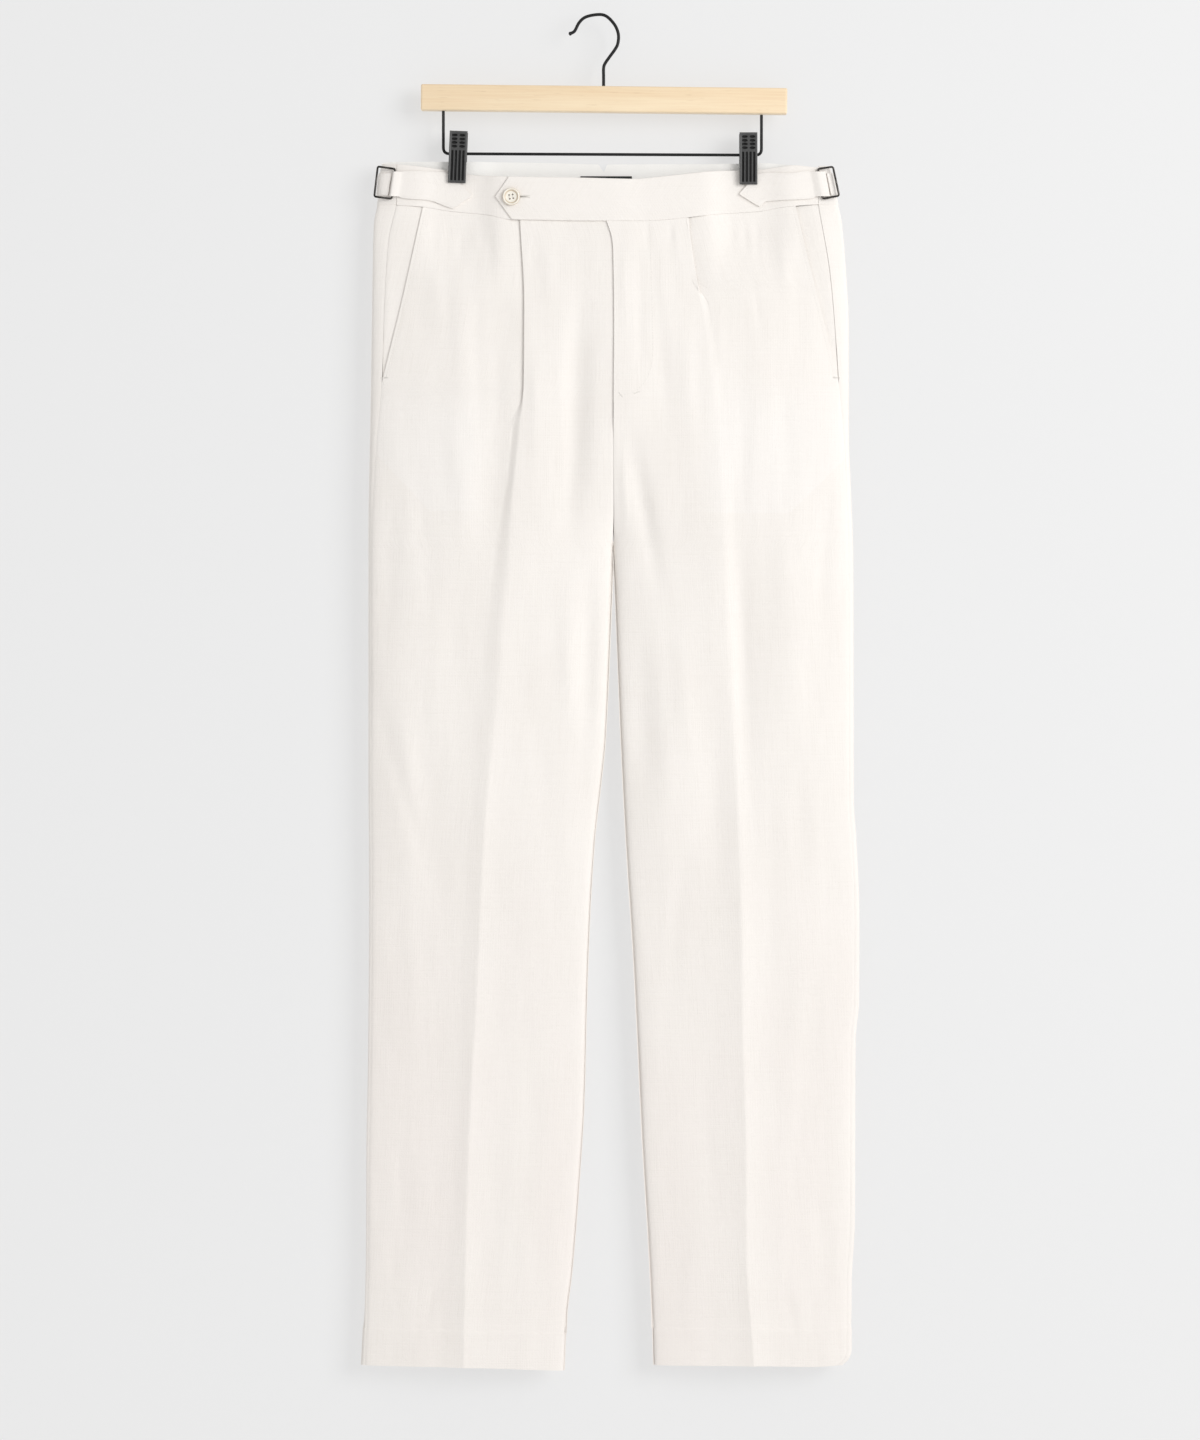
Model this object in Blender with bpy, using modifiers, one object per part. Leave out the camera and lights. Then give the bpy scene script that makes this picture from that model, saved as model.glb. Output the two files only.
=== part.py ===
"""Side tab trousers, hung from the waistband on a wooden clip hanger.

Sizes in the tables are millimetres. A place on the garment is given by
  drop   how far it lies below the inside top of the hanger's hook, which is the origin,
  out    how far it lies from the plane x = 0 towards its own side of the garment,
  x      the same across, positive towards the viewer's right.
The viewer looks along +Y, so the front of the cloth has negative y. "Right" and "left" are the
wearer's: the right leg is on the viewer's left.
"""

import math
from dataclasses import dataclass

import bmesh
import bpy
import numpy as np
from mathutils import Matrix, Vector

MM = 0.001
OBJECT_NAME = "side_tab_trousers"

# Cloth
GAP = 0.3                 # between neighbouring pieces
CLOTH = 1.6               # wall of the legs: cloth with its seam allowances and small folds
HEM_CLOTH = 2.0           # the same where the hem is turned up
HEM_DEPTH = 37.0
WAISTBAND = 2.4           # two layers and an interlining
STRAP = 2.0
LOOP_CLOTH = 1.0          # one layer of the strap, where it opens to go round the buckle
ANCHOR = 1.6
BAG = 1.0
RECESS = 0.4              # the legs lie this far under the waistband's outside

# Levels
STRAIGHT_RISE = 372.0     # down to here the centre seams lie flat
CROTCH = 517.3
MOUTH_END = 357.0         # lower end of the pocket mouths
FLY_END = 372.0
SIDE_ROUNDNESS = 0.56     # exponent of the sections: 1 is an ellipse, less is flatter


def smoothstep(low, high, value):
    share = min(max((value - low) / (high - low), 0.0), 1.0)
    return share * share * (3.0 - 2.0 * share)


class Line:
    """A smooth curve through rows of (place, value), with no overshoot between them."""

    def __init__(self, *rows):
        self.places, self.values = (np.array(column, float) for column in zip(*rows))
        rises = np.diff(self.values) / np.diff(self.places)
        product = rises[:-1] * rises[1:]
        total = rises[:-1] + rises[1:]
        middle = np.where(product > 0, 2 * product / np.where(total == 0, 1, total), 0)
        self.slopes = np.concatenate(([rises[0]], middle, [rises[-1]]))

    def __call__(self, place):
        place = min(max(place, self.places[0]), self.places[-1])
        row = min(int(np.searchsorted(self.places, place, side="right")) - 1, len(self.places) - 2)
        width = self.places[row + 1] - self.places[row]
        u = (place - self.places[row]) / width
        ends = (2 * u**3 - 3 * u**2 + 1) * self.values[row] + (3 * u**2 - 2 * u**3) * self.values[row + 1]
        slopes = (u**3 - 2 * u**2 + u) * self.slopes[row] + (u**3 - u**2) * self.slopes[row + 1]
        return float(ends + slopes * width)


# Half the garment's thickness, the front and the back of the middle plane: (drop, depth)
FRONT_DEPTH = Line((190, 9.5), (240, 13), (320, 17), (420, 19), (517, 17), (600, 14.5), (750, 12), (900, 10.5),
                   (1100, 9.5), (1317, 9))
BACK_DEPTH = Line((190, 5.5), (240, 11), (320, 16), (420, 19), (517, 17), (600, 14.5), (750, 12), (900, 10.5),
                  (1100, 9.5), (1317, 9))
# How far the pressed creases stand up: (drop, rise)
CREASE_RISE = Line((200, 0), (400, 0.6), (560, 3), (750, 5), (1317, 5.5))
CREASE_REACH = 20.0
VALLEY_WIDTH = 45.0       # beside the pleat

# Centre seams: (drop, x)
FLY = Line((200, 9.7), (218, 15.1), (229, 16.1), (296, 17.0), (373, 16.6), (436, 16.4), (484, 16.8), (517.3, 16.1))
SEAT = Line((141, 7.3), (200, 8.5), (350, 13), (517.3, 16.1))

# Waistband edges: (x, drop)
FRONT_TOP = Line((-195.5, 144.2), (-147.8, 149.8), (-126, 154.1), (-85.6, 157), (-15, 158.3), (34.5, 159.3),
                 (69.6, 156.2), (121.6, 150.9), (158, 149.5), (181.5, 146.6), (191.2, 145.6), (213, 147.6))
FRONT_SEAM = Line((-213.6, 183.6), (-194, 184.6), (-168.8, 186.3), (-143.5, 190), (-108.5, 193.7), (-82.2, 198.9),
                  (6.3, 200.3), (42.3, 200.3), (129.9, 192.3), (156.2, 190.6), (182.4, 186.5), (215.5, 183.9),
                  (237, 183.6))
BACK_TOP = Line((-209, 143.2), (-203, 141.8), (-190, 141.3), (-144.5, 141.3), (1.5, 143.7), (7.3, 150.9),
                (10.8, 143.7), (140, 143.2), (158, 142.7), (190, 144.5), (211, 147.2), (229, 148.2))
BACK_SEAM = 184.0

# The clips press the waistband together: (x) of each, and how far sideways and down it reaches
CLIP_X = (-134.7, 147.6)
CLIPPED_DEPTH = 2.9
CLIP_REACH = 32.0
CLIP_FADE = (190.0, 270.0)


@dataclass
class Half:
    name: str
    sign: int             # side of x = 0 that it hangs on
    outer: Line           # outline: (drop, out)
    leg_inner: Line       # inner outline below the crotch: (drop, out)
    seam: Line            # side seam, on the front: (drop, out)
    mouth: Line           # edge of the slanted pocket mouth: (drop, out)
    crease: Line          # front crease, which is also the pleat's edge: (drop, out)
    tuck: Line            # cloth tucked back under the pleat; negative where it lies open: (drop, width)
    valley: Line          # how deep the cloth lies beside the pleat: (drop, depth)
    hem: Line             # (out, drop)


RIGHT = Half(
    "right", -1,
    outer=Line((141, 207), (147, 209.5), (184, 213.6), (202, 217), (257, 218.4), (366, 219.9), (510, 222.3),
               (733, 222.3), (856, 221.6), (1019, 222.8), (1103, 224.3), (1193, 224.6), (1265, 226.2), (1317, 228.7)),
    leg_inner=Line((517.3, -16.1), (626, -11.8), (708, -7.7), (749, -3.4), (801, 2.4), (879, 7.3), (957, 10.2),
                   (1054, 12.6), (1127, 17), (1220, 24.4), (1265, 29.6), (1317, 31.8)),
    seam=Line((184, 194.4), (220, 202.3), (282, 206.1), (357, 208.7), (424, 214.5), (525, 219.4), (733, 219.3),
              (856, 218.6), (1019, 219.8), (1103, 221.3), (1265, 223.2), (1317, 225.7)),
    mouth=Line((184, 168.2), (279, 189.2), (357, 208.5)),
    crease=Line((200, 73.9), (282, 69.8), (357, 70.2), (407, 74.4), (458, 79.6), (529, 85.1), (611, 91.5), (712, 101.7),
                (813, 109.9), (914, 114.3), (985, 118.2), (1087, 123.5), (1205, 127), (1311, 128.9)),
    tuck=Line((200, 17), (260, 14), (330, 8.5), (385, 2), (430, -5), (520, -14), (640, -18), (1317, -18)),
    valley=Line((200, 4.2), (330, 4.8), (430, 5.2), (520, 4), (640, 2), (760, 0.6), (1317, 0.4)),
    hem=Line((31.6, 1317.2), (128.9, 1313.3), (228.7, 1311.8)),
)
LEFT = Half(
    "left", 1,
    outer=Line((141, 224), (148, 227.5), (184, 235.5), (200, 239), (257, 243.7), (296, 245.7), (412, 246), (451, 247.6),
               (529, 250.3), (762, 250.8), (801, 253.3), (879, 256.2), (957, 256), (996, 252.6), (1175, 251.8),
               (1230, 248.8), (1297, 248.4), (1306, 246), (1311.8, 240)),
    leg_inner=Line((517.3, 16.1), (558, 18.6), (626, 21.3), (712, 24.8), (813, 30), (914, 36.5), (985, 40.1),
                   (1093, 45.2), (1191, 51.1), (1265, 54.7), (1312, 56)),
    seam=Line((184, 215.9), (255, 227.7), (339, 234.4), (357, 235.6), (412, 240.8), (451, 242.6), (529, 245.4),
              (762, 246), (801, 248.4), (879, 251.2), (957, 251), (996, 247.6), (1175, 246.8), (1230, 243.8),
              (1297, 243.4), (1306, 241), (1311.8, 235)),
    mouth=Line((184, 193.2), (238, 205.8), (300, 221.5), (357, 235.4)),
    crease=Line((200, 88.6), (218, 91), (323, 106.5), (424, 116.3), (525, 122.1), (607, 128.4), (712, 134.8),
                (792, 137.7), (914, 141.3), (985, 141.8), (1087, 145), (1205, 145.7), (1311, 152.8)),
    tuck=Line((200, 11), (250, 8), (300, 2), (340, -6), (424, -15), (525, -16), (640, -16), (1312, -16)),
    valley=Line((200, 4.2), (300, 4.8), (424, 4.4), (525, 3.2), (640, 1.8), (760, 0.6), (1312, 0.4)),
    hem=Line((56.5, 1311.8), (152.8, 1311.8), (210.4, 1313), (240, 1311.8)),
)
HALVES = (RIGHT, LEFT)

# Largest soft folds: half, face, top drop, bottom drop, out at top, out at bottom, rise, half width
FOLDS = (
    ("right", "front", 205, 500, 29, 22, -5.0, 17),
    ("right", "front", 500, 740, 9, 9, -2.5, 9),
    ("right", "front", 560, 900, 190, 150, -2.0, 16),
    ("left", "front", 380, 620, 37, 43, -4.0, 13),
    ("left", "front", 540, 800, 38, 52, -2.5, 13),
    ("left", "front", 600, 900, 112, 118, -2.0, 13),
    ("right", "back", 420, 700, 60, 110, -3.5, 18),
    ("right", "back", 240, 480, 120, 100, -2.5, 22),
    ("left", "back", 430, 720, 70, 120, -3.5, 18),
    ("left", "back", 240, 470, 150, 120, -2.5, 22),
)


# --- The garment's outside, as a depth in front of or behind the middle plane ---------------------

def inner_edge(half, face, drop):
    """Where a face ends towards the middle: at the centre seam, or below the crotch at the inseam."""
    if drop >= CROTCH:
        return half.leg_inner(drop)
    return half.sign * (FLY if face == "front" else SEAT)(drop)


def sweep(drop):
    """The angle that a section turns through from the side: a quarter turn above the crotch, a half turn in a leg."""
    level = min(max((drop - STRAIGHT_RISE) / (CROTCH - STRAIGHT_RISE), 0.0), 1.0)
    return math.pi / 2 * (1.0 + level**1.5)


def share_of_turn(half, face, out, drop):
    """How far round the section a place lies: 0 at the outer edge, 1 at the inner edge."""
    outer, inner = half.outer(drop), inner_edge(half, face, drop)
    turn = sweep(drop)
    cosine = 1.0 - (outer - out) / (outer - inner) * (1.0 - math.cos(turn))
    return math.acos(min(max(cosine, -1.0), 1.0)) / turn


def out_at(half, face, share, drop):
    """The opposite of share_of_turn."""
    outer, inner = half.outer(drop), inner_edge(half, face, drop)
    turn = sweep(drop)
    return outer - (outer - inner) * (1.0 - math.cos(turn * share)) / (1.0 - math.cos(turn))


def fold_rise(half, face, out, drop):
    rise = 0.0
    for name, side, top, bottom, out_top, out_bottom, height, width in FOLDS:
        if (name, side) == (half.name, face) and top < drop < bottom:
            along = (drop - top) / (bottom - top)
            centre = out_top + along * (out_bottom - out_top)
            rise += height * math.sin(math.pi * along) ** 2 * math.exp(-((out - centre) / width) ** 2)
    return rise


def face_depth(half, face, out, drop):
    """Distance of a face's outside from the middle plane, without the pleat's own step."""
    turned = math.sin(share_of_turn(half, face, out, drop) * sweep(drop)) ** SIDE_ROUNDNESS
    depth = (FRONT_DEPTH if face == "front" else BACK_DEPTH)(drop) * turned
    grip = max(math.exp(-((half.sign * out - clip) / CLIP_REACH) ** 4) for clip in CLIP_X)
    grip *= 1.0 - smoothstep(*CLIP_FADE, drop)
    depth = depth * (1.0 - grip) + min(depth, CLIPPED_DEPTH) * grip
    crease = CREASE_RISE(drop) * math.exp(-abs(out - half.crease(drop)) / CREASE_REACH)
    return depth + min(1.0, 1.5 * turned) * (crease + fold_rise(half, face, out, drop))


def valley_dip(half, out, drop):
    """How deep the cloth lies at a place beside the pleat."""
    root = half.crease(drop) - half.tuck(drop)
    return half.valley(drop) * (1.0 - smoothstep(root, root + VALLEY_WIDTH, out))


def face_point(half, face, out, drop, dip=0.0):
    """A point (out, y) of the outside. Past the centre seam it lies on the other half."""
    if drop < CROTCH and out < inner_edge(half, face, drop):
        other = LEFT if half is RIGHT else RIGHT
        depth = face_depth(other, face, -out, drop)
    else:
        depth = face_depth(half, face, out, drop)
    return out, (dip - depth) if face == "front" else (depth - dip)


def seam_point(half, face, drop):
    """Where a face meets its neighbour at a centre seam or at the inseam, half a gap short of it."""
    inner = inner_edge(half, face, drop)
    depth = max(face_depth(half, face, inner, drop), GAP / 2)
    return inner + GAP / 2, -depth if face == "front" else depth


def end_normal(half, face, out, drop):
    """The outward direction where a piece ends, so that two pieces that meet there have the same one."""
    inner = inner_edge(half, face, drop)
    toward = -1.0 if face == "front" else 1.0
    if abs(out - inner) < 1.0:
        return math.cos(sweep(drop)), toward * math.sin(sweep(drop))
    step = 0.5
    run = min(step, max(half.outer(drop) - out, 0.01))
    before, after = face_point(half, face, out - step, drop), face_point(half, face, out + run, drop)
    across, along = after[1] - before[1], after[0] - before[0]
    length = math.hypot(across, along)
    return (across / length, -along / length) if face == "front" else (-across / length, along / length)


# --- Walls ---------------------------------------------------------------------------------------

def corner_directions(points, first, last):
    """At each point of a section, the outward direction, mitred where the section turns."""
    normals = []
    for (x0, y0), (x1, y1) in zip(points, points[1:]):
        length = math.hypot(x1 - x0, y1 - y0) or 1.0
        normals.append(((y1 - y0) / length, (x0 - x1) / length))
    middle = []
    for (ax, ay), (bx, by) in zip(normals, normals[1:]):
        scale = max(1.0 + ax * bx + ay * by, 0.5)
        middle.append(((ax + bx) / scale, (ay + by) / scale))
    return [first, *middle, last]


def wall(points, directions, outset, thickness):
    """The outer and the inner line of a wall whose outside is moved out from a section by outset."""
    outer = [(x + dx * o, y + dy * o) for (x, y), (dx, dy), o in zip(points, directions, outset)]
    inner = [(x + dx * (o - t), y + dy * (o - t))
             for (x, y), (dx, dy), o, t in zip(points, directions, outset, thickness)]
    return outer, inner


def placed(half, points, drops):
    return [Vector((half.sign * out, y, -drop)) * MM for (out, y), drop in zip(points, drops)]


def closed_loft(name, material, rows):
    """One solid from rows of (outer points, inner points), skinned over both sides and round the edges."""
    shape = bmesh.new()
    sides = [[[shape.verts.new(point) for point in row[side]] for row in rows] for side in (0, 1)]
    outer, inner = sides
    last_row, last_column = len(rows) - 1, len(outer[0]) - 1
    for grid in sides:
        for row in range(last_row):
            for column in range(last_column):
                shape.faces.new((grid[row][column], grid[row][column + 1],
                                 grid[row + 1][column + 1], grid[row + 1][column]))
    for row in range(last_row):
        for column in (0, last_column):
            shape.faces.new((outer[row][column], outer[row + 1][column], inner[row + 1][column], inner[row][column]))
    for column in range(last_column):
        for row in (0, last_row):
            shape.faces.new((outer[row][column], outer[row][column + 1], inner[row][column + 1], inner[row][column]))
    bmesh.ops.recalc_face_normals(shape, faces=shape.faces)
    return mesh_object(name, material, shape)


# --- Blender objects -----------------------------------------------------------------------------

def material(name, color, roughness, metallic=0.0):
    made = bpy.data.materials.new(name)
    made.use_nodes = True
    made.diffuse_color = (*color, 1.0)
    shader = made.node_tree.nodes["Principled BSDF"]
    shader.inputs["Base Color"].default_value = (*color, 1.0)
    shader.inputs["Roughness"].default_value = roughness
    shader.inputs["Metallic"].default_value = metallic
    return made


def mesh_object(name, finish, shape):
    data = bpy.data.meshes.new(name)
    shape.to_mesh(data)
    shape.free()
    data.shade_smooth()
    data.set_sharp_from_angle(angle=math.radians(40))
    data.materials.append(finish)
    made = bpy.data.objects.new(name, data)
    PARTS.objects.link(made)
    return made


def wire_object(name, finish, path, radius, cyclic=False, radii=None):
    """A round wire along a path of points in metres."""
    data = bpy.data.curves.new(name, "CURVE")
    data.dimensions = "3D"
    data.bevel_depth = radius * MM
    data.bevel_resolution = 2
    data.use_fill_caps = not cyclic
    spline = data.splines.new("POLY")
    spline.points.add(len(path) - 1)
    spline.use_cyclic_u = cyclic
    for number, (point, place) in enumerate(zip(spline.points, path)):
        point.co = (*place, 1.0)
        point.radius = radii[number] if radii else 1.0
    data.materials.append(finish)
    made = bpy.data.objects.new(name, data)
    PARTS.objects.link(made)
    return made


def rounded_corners(corners, radius, steps, cyclic):
    """A path through corners (x, y, z), each turned with an arc."""
    corners = [Vector(corner) for corner in corners]
    path = []
    for number, corner in enumerate(corners):
        if not cyclic and number in (0, len(corners) - 1):
            path.append(corner)
            continue
        before = (corners[number - 1] - corner).normalized()
        after = (corners[(number + 1) % len(corners)] - corner).normalized()
        half_angle = before.angle(after) / 2
        start, end = (corner + way * radius / math.tan(half_angle) for way in (before, after))
        centre = corner + (before + after).normalized() * radius / math.sin(half_angle)
        for step in range(steps + 1):
            spoke = (start - centre).lerp(end - centre, step / steps)
            path.append(centre + spoke.normalized() * radius)
    return path


# --- Legs ----------------------------------------------------------------------------------------

# The first rows follow the waist seam; the share says how far they have moved on to WAIST_ROW_END
WAIST_ROW_SHARES = (0.0, 0.45)
WAIST_ROW_END = 214.0
ROW_DROPS = (214, 230, 252, 282, 318, 350, 358, 378, 400, 415, 440, 466, 488, 504, 513, 517.3, 532, 560, 604, 664, 742,
             830, 930, 1030, 1130, 1215)
HEM_ROW_SHARES = (0.0, 0.06, 1.0)
FRONT_SHARES = (0.05, 0.13, 0.26, 0.44, 0.64, 0.82, 0.94)
SIDE_SHARES = (0.07, 0.24, 0.46, 0.7)
FACING_LAP = 15.0
WRAP_SHARES = (1.0, 0.55, 0.25)
BACK_SHARES_TO_CREASE = (0.0, 0.12, 0.27, 0.45, 0.65, 0.85, 1.0)
BACK_SHARES_TO_INNER = (0.1, 0.3, 0.55, 0.75, 0.88, 0.96, 1.0)

UNDERLAP = 10.0
FLY_LAP = CLOTH + GAP


def row_functions(half, seam):
    """For each row, a function that gives its drop at a place out on the half."""
    def waist(share):
        return lambda out: (seam(out) + GAP) * (1 - share) + WAIST_ROW_END * share

    def level(drop):
        return lambda out: drop

    def hem(share):
        return lambda out: half.hem(out) - HEM_DEPTH * (1 - share)

    return ([waist(share) for share in WAIST_ROW_SHARES] + [level(drop) for drop in ROW_DROPS]
            + [hem(share) for share in HEM_ROW_SHARES])


def settle(line, drop_at, start):
    """Where a row, whose drop changes across the cloth, meets a line of the cut."""
    out = start
    for _ in range(6):
        out = line(drop_at(out))
    return out


def underlap(drop):
    return UNDERLAP * (1.0 - smoothstep(FLY_END - 18, FLY_END + 4, drop))


def fly_lap(half, out, drop):
    """How far the left front stands out where it laps over the right one."""
    if half is RIGHT:
        return 0.0
    along = 1.0 - smoothstep(FLY_END + 14, FLY_END + 50, drop)
    return FLY_LAP * along * (1.0 - smoothstep(13, 42, out - FLY(drop)))


def front_row(half, drop_at):
    """The stations of one row of the front: (out, y, drop, kind), from the middle to the side seam."""
    inner = settle(lambda drop: inner_edge(half, "front", drop), drop_at, half.sign * 15.0)
    edge = settle(half.crease, drop_at, half.crease(300))
    seam = settle(half.seam, drop_at, half.seam(300))
    mouth = settle(half.mouth, drop_at, half.mouth(300))
    level = drop_at(edge)
    tuck, valley = half.tuck(level), half.valley(level)
    root = edge - tuck
    if level > MOUTH_END:
        mouth = seam - GAP

    def station(out, kind, dip=0.0):
        drop = drop_at(out)
        return (*face_point(half, "front", out, drop, dip), drop, kind)

    start = share_of_turn(half, "front", edge, level)
    hidden = underlap(drop_at(inner)) if half is RIGHT else 0.0
    if hidden > 0.5:
        stations = [station(inner + GAP / 2 - hidden, "front")]
    else:
        stations = [(*seam_point(half, "front", drop_at(inner)), drop_at(inner), "front")]
    for share in FRONT_SHARES:
        turn = 1.0 + share * (start - 1.0)
        stations.append(station(out_at(half, "front", turn, drop_at(inner)), "front"))
    stations.append(station(edge, "front"))
    if tuck > 0:
        air = (valley - 2 * CLOTH) / 2
        steps = ((0.0, valley - air), (-tuck, valley - air), (-tuck, valley))
    else:
        steps = ((-0.25 * tuck, 0.3 * valley), (-0.6 * tuck, 0.75 * valley), (-tuck, valley))
    for across, dip in steps:
        out = edge + across
        y = face_point(half, "front", edge if tuck > 0 else out, drop_at(out))[1]
        stations.append((out, y + dip, drop_at(out), "fold"))
    lap_end = mouth - FACING_LAP
    for share in SIDE_SHARES:
        out = root + share * (lap_end - root)
        stations.append(station(out, "front", valley_dip(half, out, level)))
    stations.append(station(lap_end, "lap"))
    stations.append(station(mouth, "mouth"))
    for share in (0.5, 1.0):
        stations.append(station(mouth + share * (seam - GAP - mouth), "facing"))
    return stations


def section(half, face, stations, outset, thickness):
    """Turns stations of one row into the outer and inner points of its wall."""
    points = [(out, y) for out, y, *_ in stations]
    drops = [station[2] for station in stations]
    first = end_normal(half, face[0], points[0][0], drops[0])
    last = end_normal(half, face[1], points[-1][0], drops[-1])
    lines = wall(points, corner_directions(points, first, last), outset, thickness)
    return tuple(placed(half, line, drops) for line in lines)


def leg_wall(half, out, drop):
    return HEM_CLOTH if drop > half.hem(out) - HEM_DEPTH + 1 else CLOTH


def make_front(half):
    rows = []
    for drop_at in row_functions(half, lambda out: FRONT_SEAM(half.sign * out)):
        stations = [station for station in front_row(half, drop_at) if station[3] != "facing"]
        outset = [fly_lap(half, out, drop) - RECESS for out, _, drop, _ in stations]
        thickness = [leg_wall(half, out, drop) for out, _, drop, _ in stations]
        rows.append(section(half, ("front", "front"), stations, outset, thickness))
    closed_loft(f"front_{half.name}", LINEN, rows)


def make_pocket_facing(half):
    """Cloth that shows between the pocket mouth and the side seam, and goes on under the mouth's edge."""
    rows = []
    for drop_at in row_functions(half, lambda out: FRONT_SEAM(half.sign * out)):
        stations = [station for station in front_row(half, drop_at) if station[3] in ("lap", "mouth", "facing")]
        if stations[0][2] > 351:
            break
        width = stations[-1][0] - stations[1][0]
        sunk = CLOTH + GAP
        at_seam = sunk * (1.0 - smoothstep(2, 14, width))
        outset = [-RECESS - depth for depth in (sunk, sunk, (sunk + at_seam) / 2, at_seam)]
        rows.append(section(half, ("front", "front"), stations, outset, [CLOTH] * 4))
    closed_loft(f"pocket_facing_{half.name}", LINEN, rows)


BAG_TOP, BAG_BOTTOM = 228.0, 484.0
BAG_CORNER = 427.0        # from here its lower outer corner is cut off on the slant
BAG_DIAGONAL = 50.0       # as far in as this
BAG_SIDE_ROOM = 3.0
BAG_SUNK = RECESS + 2 * (CLOTH + GAP) + GAP


def make_pocket_bag(half):
    """The bag hangs behind the facing."""
    rows = []
    for drop_at in row_functions(half, lambda out: FRONT_SEAM(half.sign * out)):
        leg = front_row(half, drop_at)
        level = leg[-1][2]
        if level < BAG_TOP or level > BAG_BOTTOM + 6:
            continue
        drop = min(level, BAG_BOTTOM)
        lap = [kind for *_, kind in leg].index("lap")
        outs = [out for out, *_ in leg[lap - 3:lap + 2]]
        cut = BAG_DIAGONAL * max(0.0, level - BAG_CORNER) / (BAG_BOTTOM - BAG_CORNER)
        scale = 1.0 - (BAG_SIDE_ROOM + cut) / (outs[-1] - outs[0])
        outs = [outs[0] + (out - outs[0]) * scale for out in outs]
        stations = [(*face_point(half, "front", out, drop, valley_dip(half, out, drop)), drop) for out in outs]
        count = len(stations)
        rows.append(section(half, ("front", "front"), stations, [-BAG_SUNK] * count, [BAG] * count))
    closed_loft(f"pocket_bag_{half.name}", POCKETING, rows)


def make_back(half):
    rows = []
    for drop_at in row_functions(half, lambda out: BACK_SEAM):
        seam = settle(half.seam, drop_at, half.seam(300))
        crease = settle(half.crease, drop_at, half.crease(300))
        level = drop_at(seam)
        start = share_of_turn(half, "front", seam, level)
        stations = []
        for share in WRAP_SHARES:
            out = out_at(half, "front", start * share, level)
            stations.append((*face_point(half, "front", out, level), level))
        turn = share_of_turn(half, "back", crease, drop_at(crease))
        turns = [turn * share for share in BACK_SHARES_TO_CREASE]
        turns += [turn + share * (1.0 - turn) for share in BACK_SHARES_TO_INNER]
        for turn in turns:
            out = out_at(half, "back", turn, drop_at(crease))
            drop = drop_at(out)
            point = seam_point(half, "back", drop) if turn == 1.0 else face_point(half, "back", out, drop)
            stations.append((*point, drop))
        outset = [-RECESS] * len(stations)
        thickness = [leg_wall(half, out, drop) for out, _, drop in stations]
        rows.append(section(half, ("front", "back"), stations, outset, thickness))
    closed_loft(f"back_{half.name}", LINEN, rows)


# --- Waistband -----------------------------------------------------------------------------------

WAISTBAND_SHARES = (0.0, 0.25, 0.5, 0.75, 1.0)
RIGHT_BAND_X = (12, 0, -16, -36, -56, -76, -82, -88, -93, -99, -110, -119, -127, -134.7, -142, -149, -157, -166, -176,
                -185)
LEFT_BAND_X = (-76, -56, -36, -16, 0, 12, 24, 36, 50, 68, 88, 106, 120, 130, 139, 147.6, 156, 165, 174, 184, 194, 205)
STATION_ROOM = 4.5        # least distance between a station of its own and one of the leg's
SIDE_OUT = 200.0
TAB_TIP_SHARE = 0.5
TAB_END = ((0.0, -85.1), (TAB_TIP_SHARE, -98.5), (1.0, -82.2))   # the pointed end: (share of height, x)
BAND_LAP = WAISTBAND + GAP + 0.2


def pointed(end, share):
    places, xs = zip(*end)
    return float(np.interp(share, places, xs))


def band_lap(x):
    """How far the left front waistband stands out where its extension laps over the right one."""
    return BAND_LAP * (1.0 - smoothstep(14, 50, x))


def side_drop(half, share):
    """The level of one row of the waistband where it goes round the side."""
    return FRONT_TOP(half.sign * SIDE_OUT) * (1 - share) + BACK_SEAM * share


def band_row(half, xs, share, top, bottom):
    """Stations at places x along one row of the front waistband, as seen from one half."""
    stations = []
    for x in xs:
        drop = top(x) + share * (bottom(x) - top(x))
        stations.append((*face_point(half, "front", half.sign * x, drop), drop))
    return stations


def waist_seam_places(half):
    """Where the leg has its stations along the waist seam, as x."""
    seam_row = row_functions(half, lambda out: FRONT_SEAM(half.sign * out))[0]
    return sorted(half.sign * out for out, _, _, kind in front_row(half, seam_row) if kind != "fold")


def waist_seam_edge(half):
    """The waistband's lower edge: straight between the leg's stations, as the leg's own upper edge is."""
    places = waist_seam_places(half)
    drops = [FRONT_SEAM(x) for x in places]

    def edge(x):
        on_extension = half is LEFT and x < places[0]
        return FRONT_SEAM(x) if on_extension else float(np.interp(x, places, drops))

    return edge


def band_places(half, xs):
    legs = waist_seam_places(half)
    own = [x for x in xs if min(abs(x - leg) for leg in legs) > STATION_ROOM or x in (xs[0], xs[-1])]
    inside = [leg for leg in legs if min(xs) + 1 < leg < max(xs) - 1]
    return sorted({round(x, 3) for x in (*own, *inside)}, reverse=half is RIGHT)


def make_front_waistbands():
    for half, xs in ((RIGHT, RIGHT_BAND_X), (LEFT, LEFT_BAND_X)):
        rows = []
        xs = band_places(half, xs)
        for share in WAISTBAND_SHARES:
            side = half.sign * (half.seam(side_drop(half, share)) - GAP)
            end = pointed(TAB_END, share)
            places = [*xs, side] if half is RIGHT else [end, (end + xs[0]) / 2, *xs, side]
            stations = band_row(half, places, share, FRONT_TOP, waist_seam_edge(half))
            outset = [band_lap(x) if half is LEFT else 0.0 for x in places]
            rows.append(section(half, ("front", "front"), stations, outset, [WAISTBAND] * len(stations)))
        closed_loft(f"waistband_front_{half.name}", LINEN, rows)


BACK_BAND_SHARES = (0.07, 0.16, 0.28, 0.4, 0.52, 0.64, 0.76, 0.88)
NOTCH_X = {"right": 1.5, "left": 10.8}      # where the V at the centre back begins on each side


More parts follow.
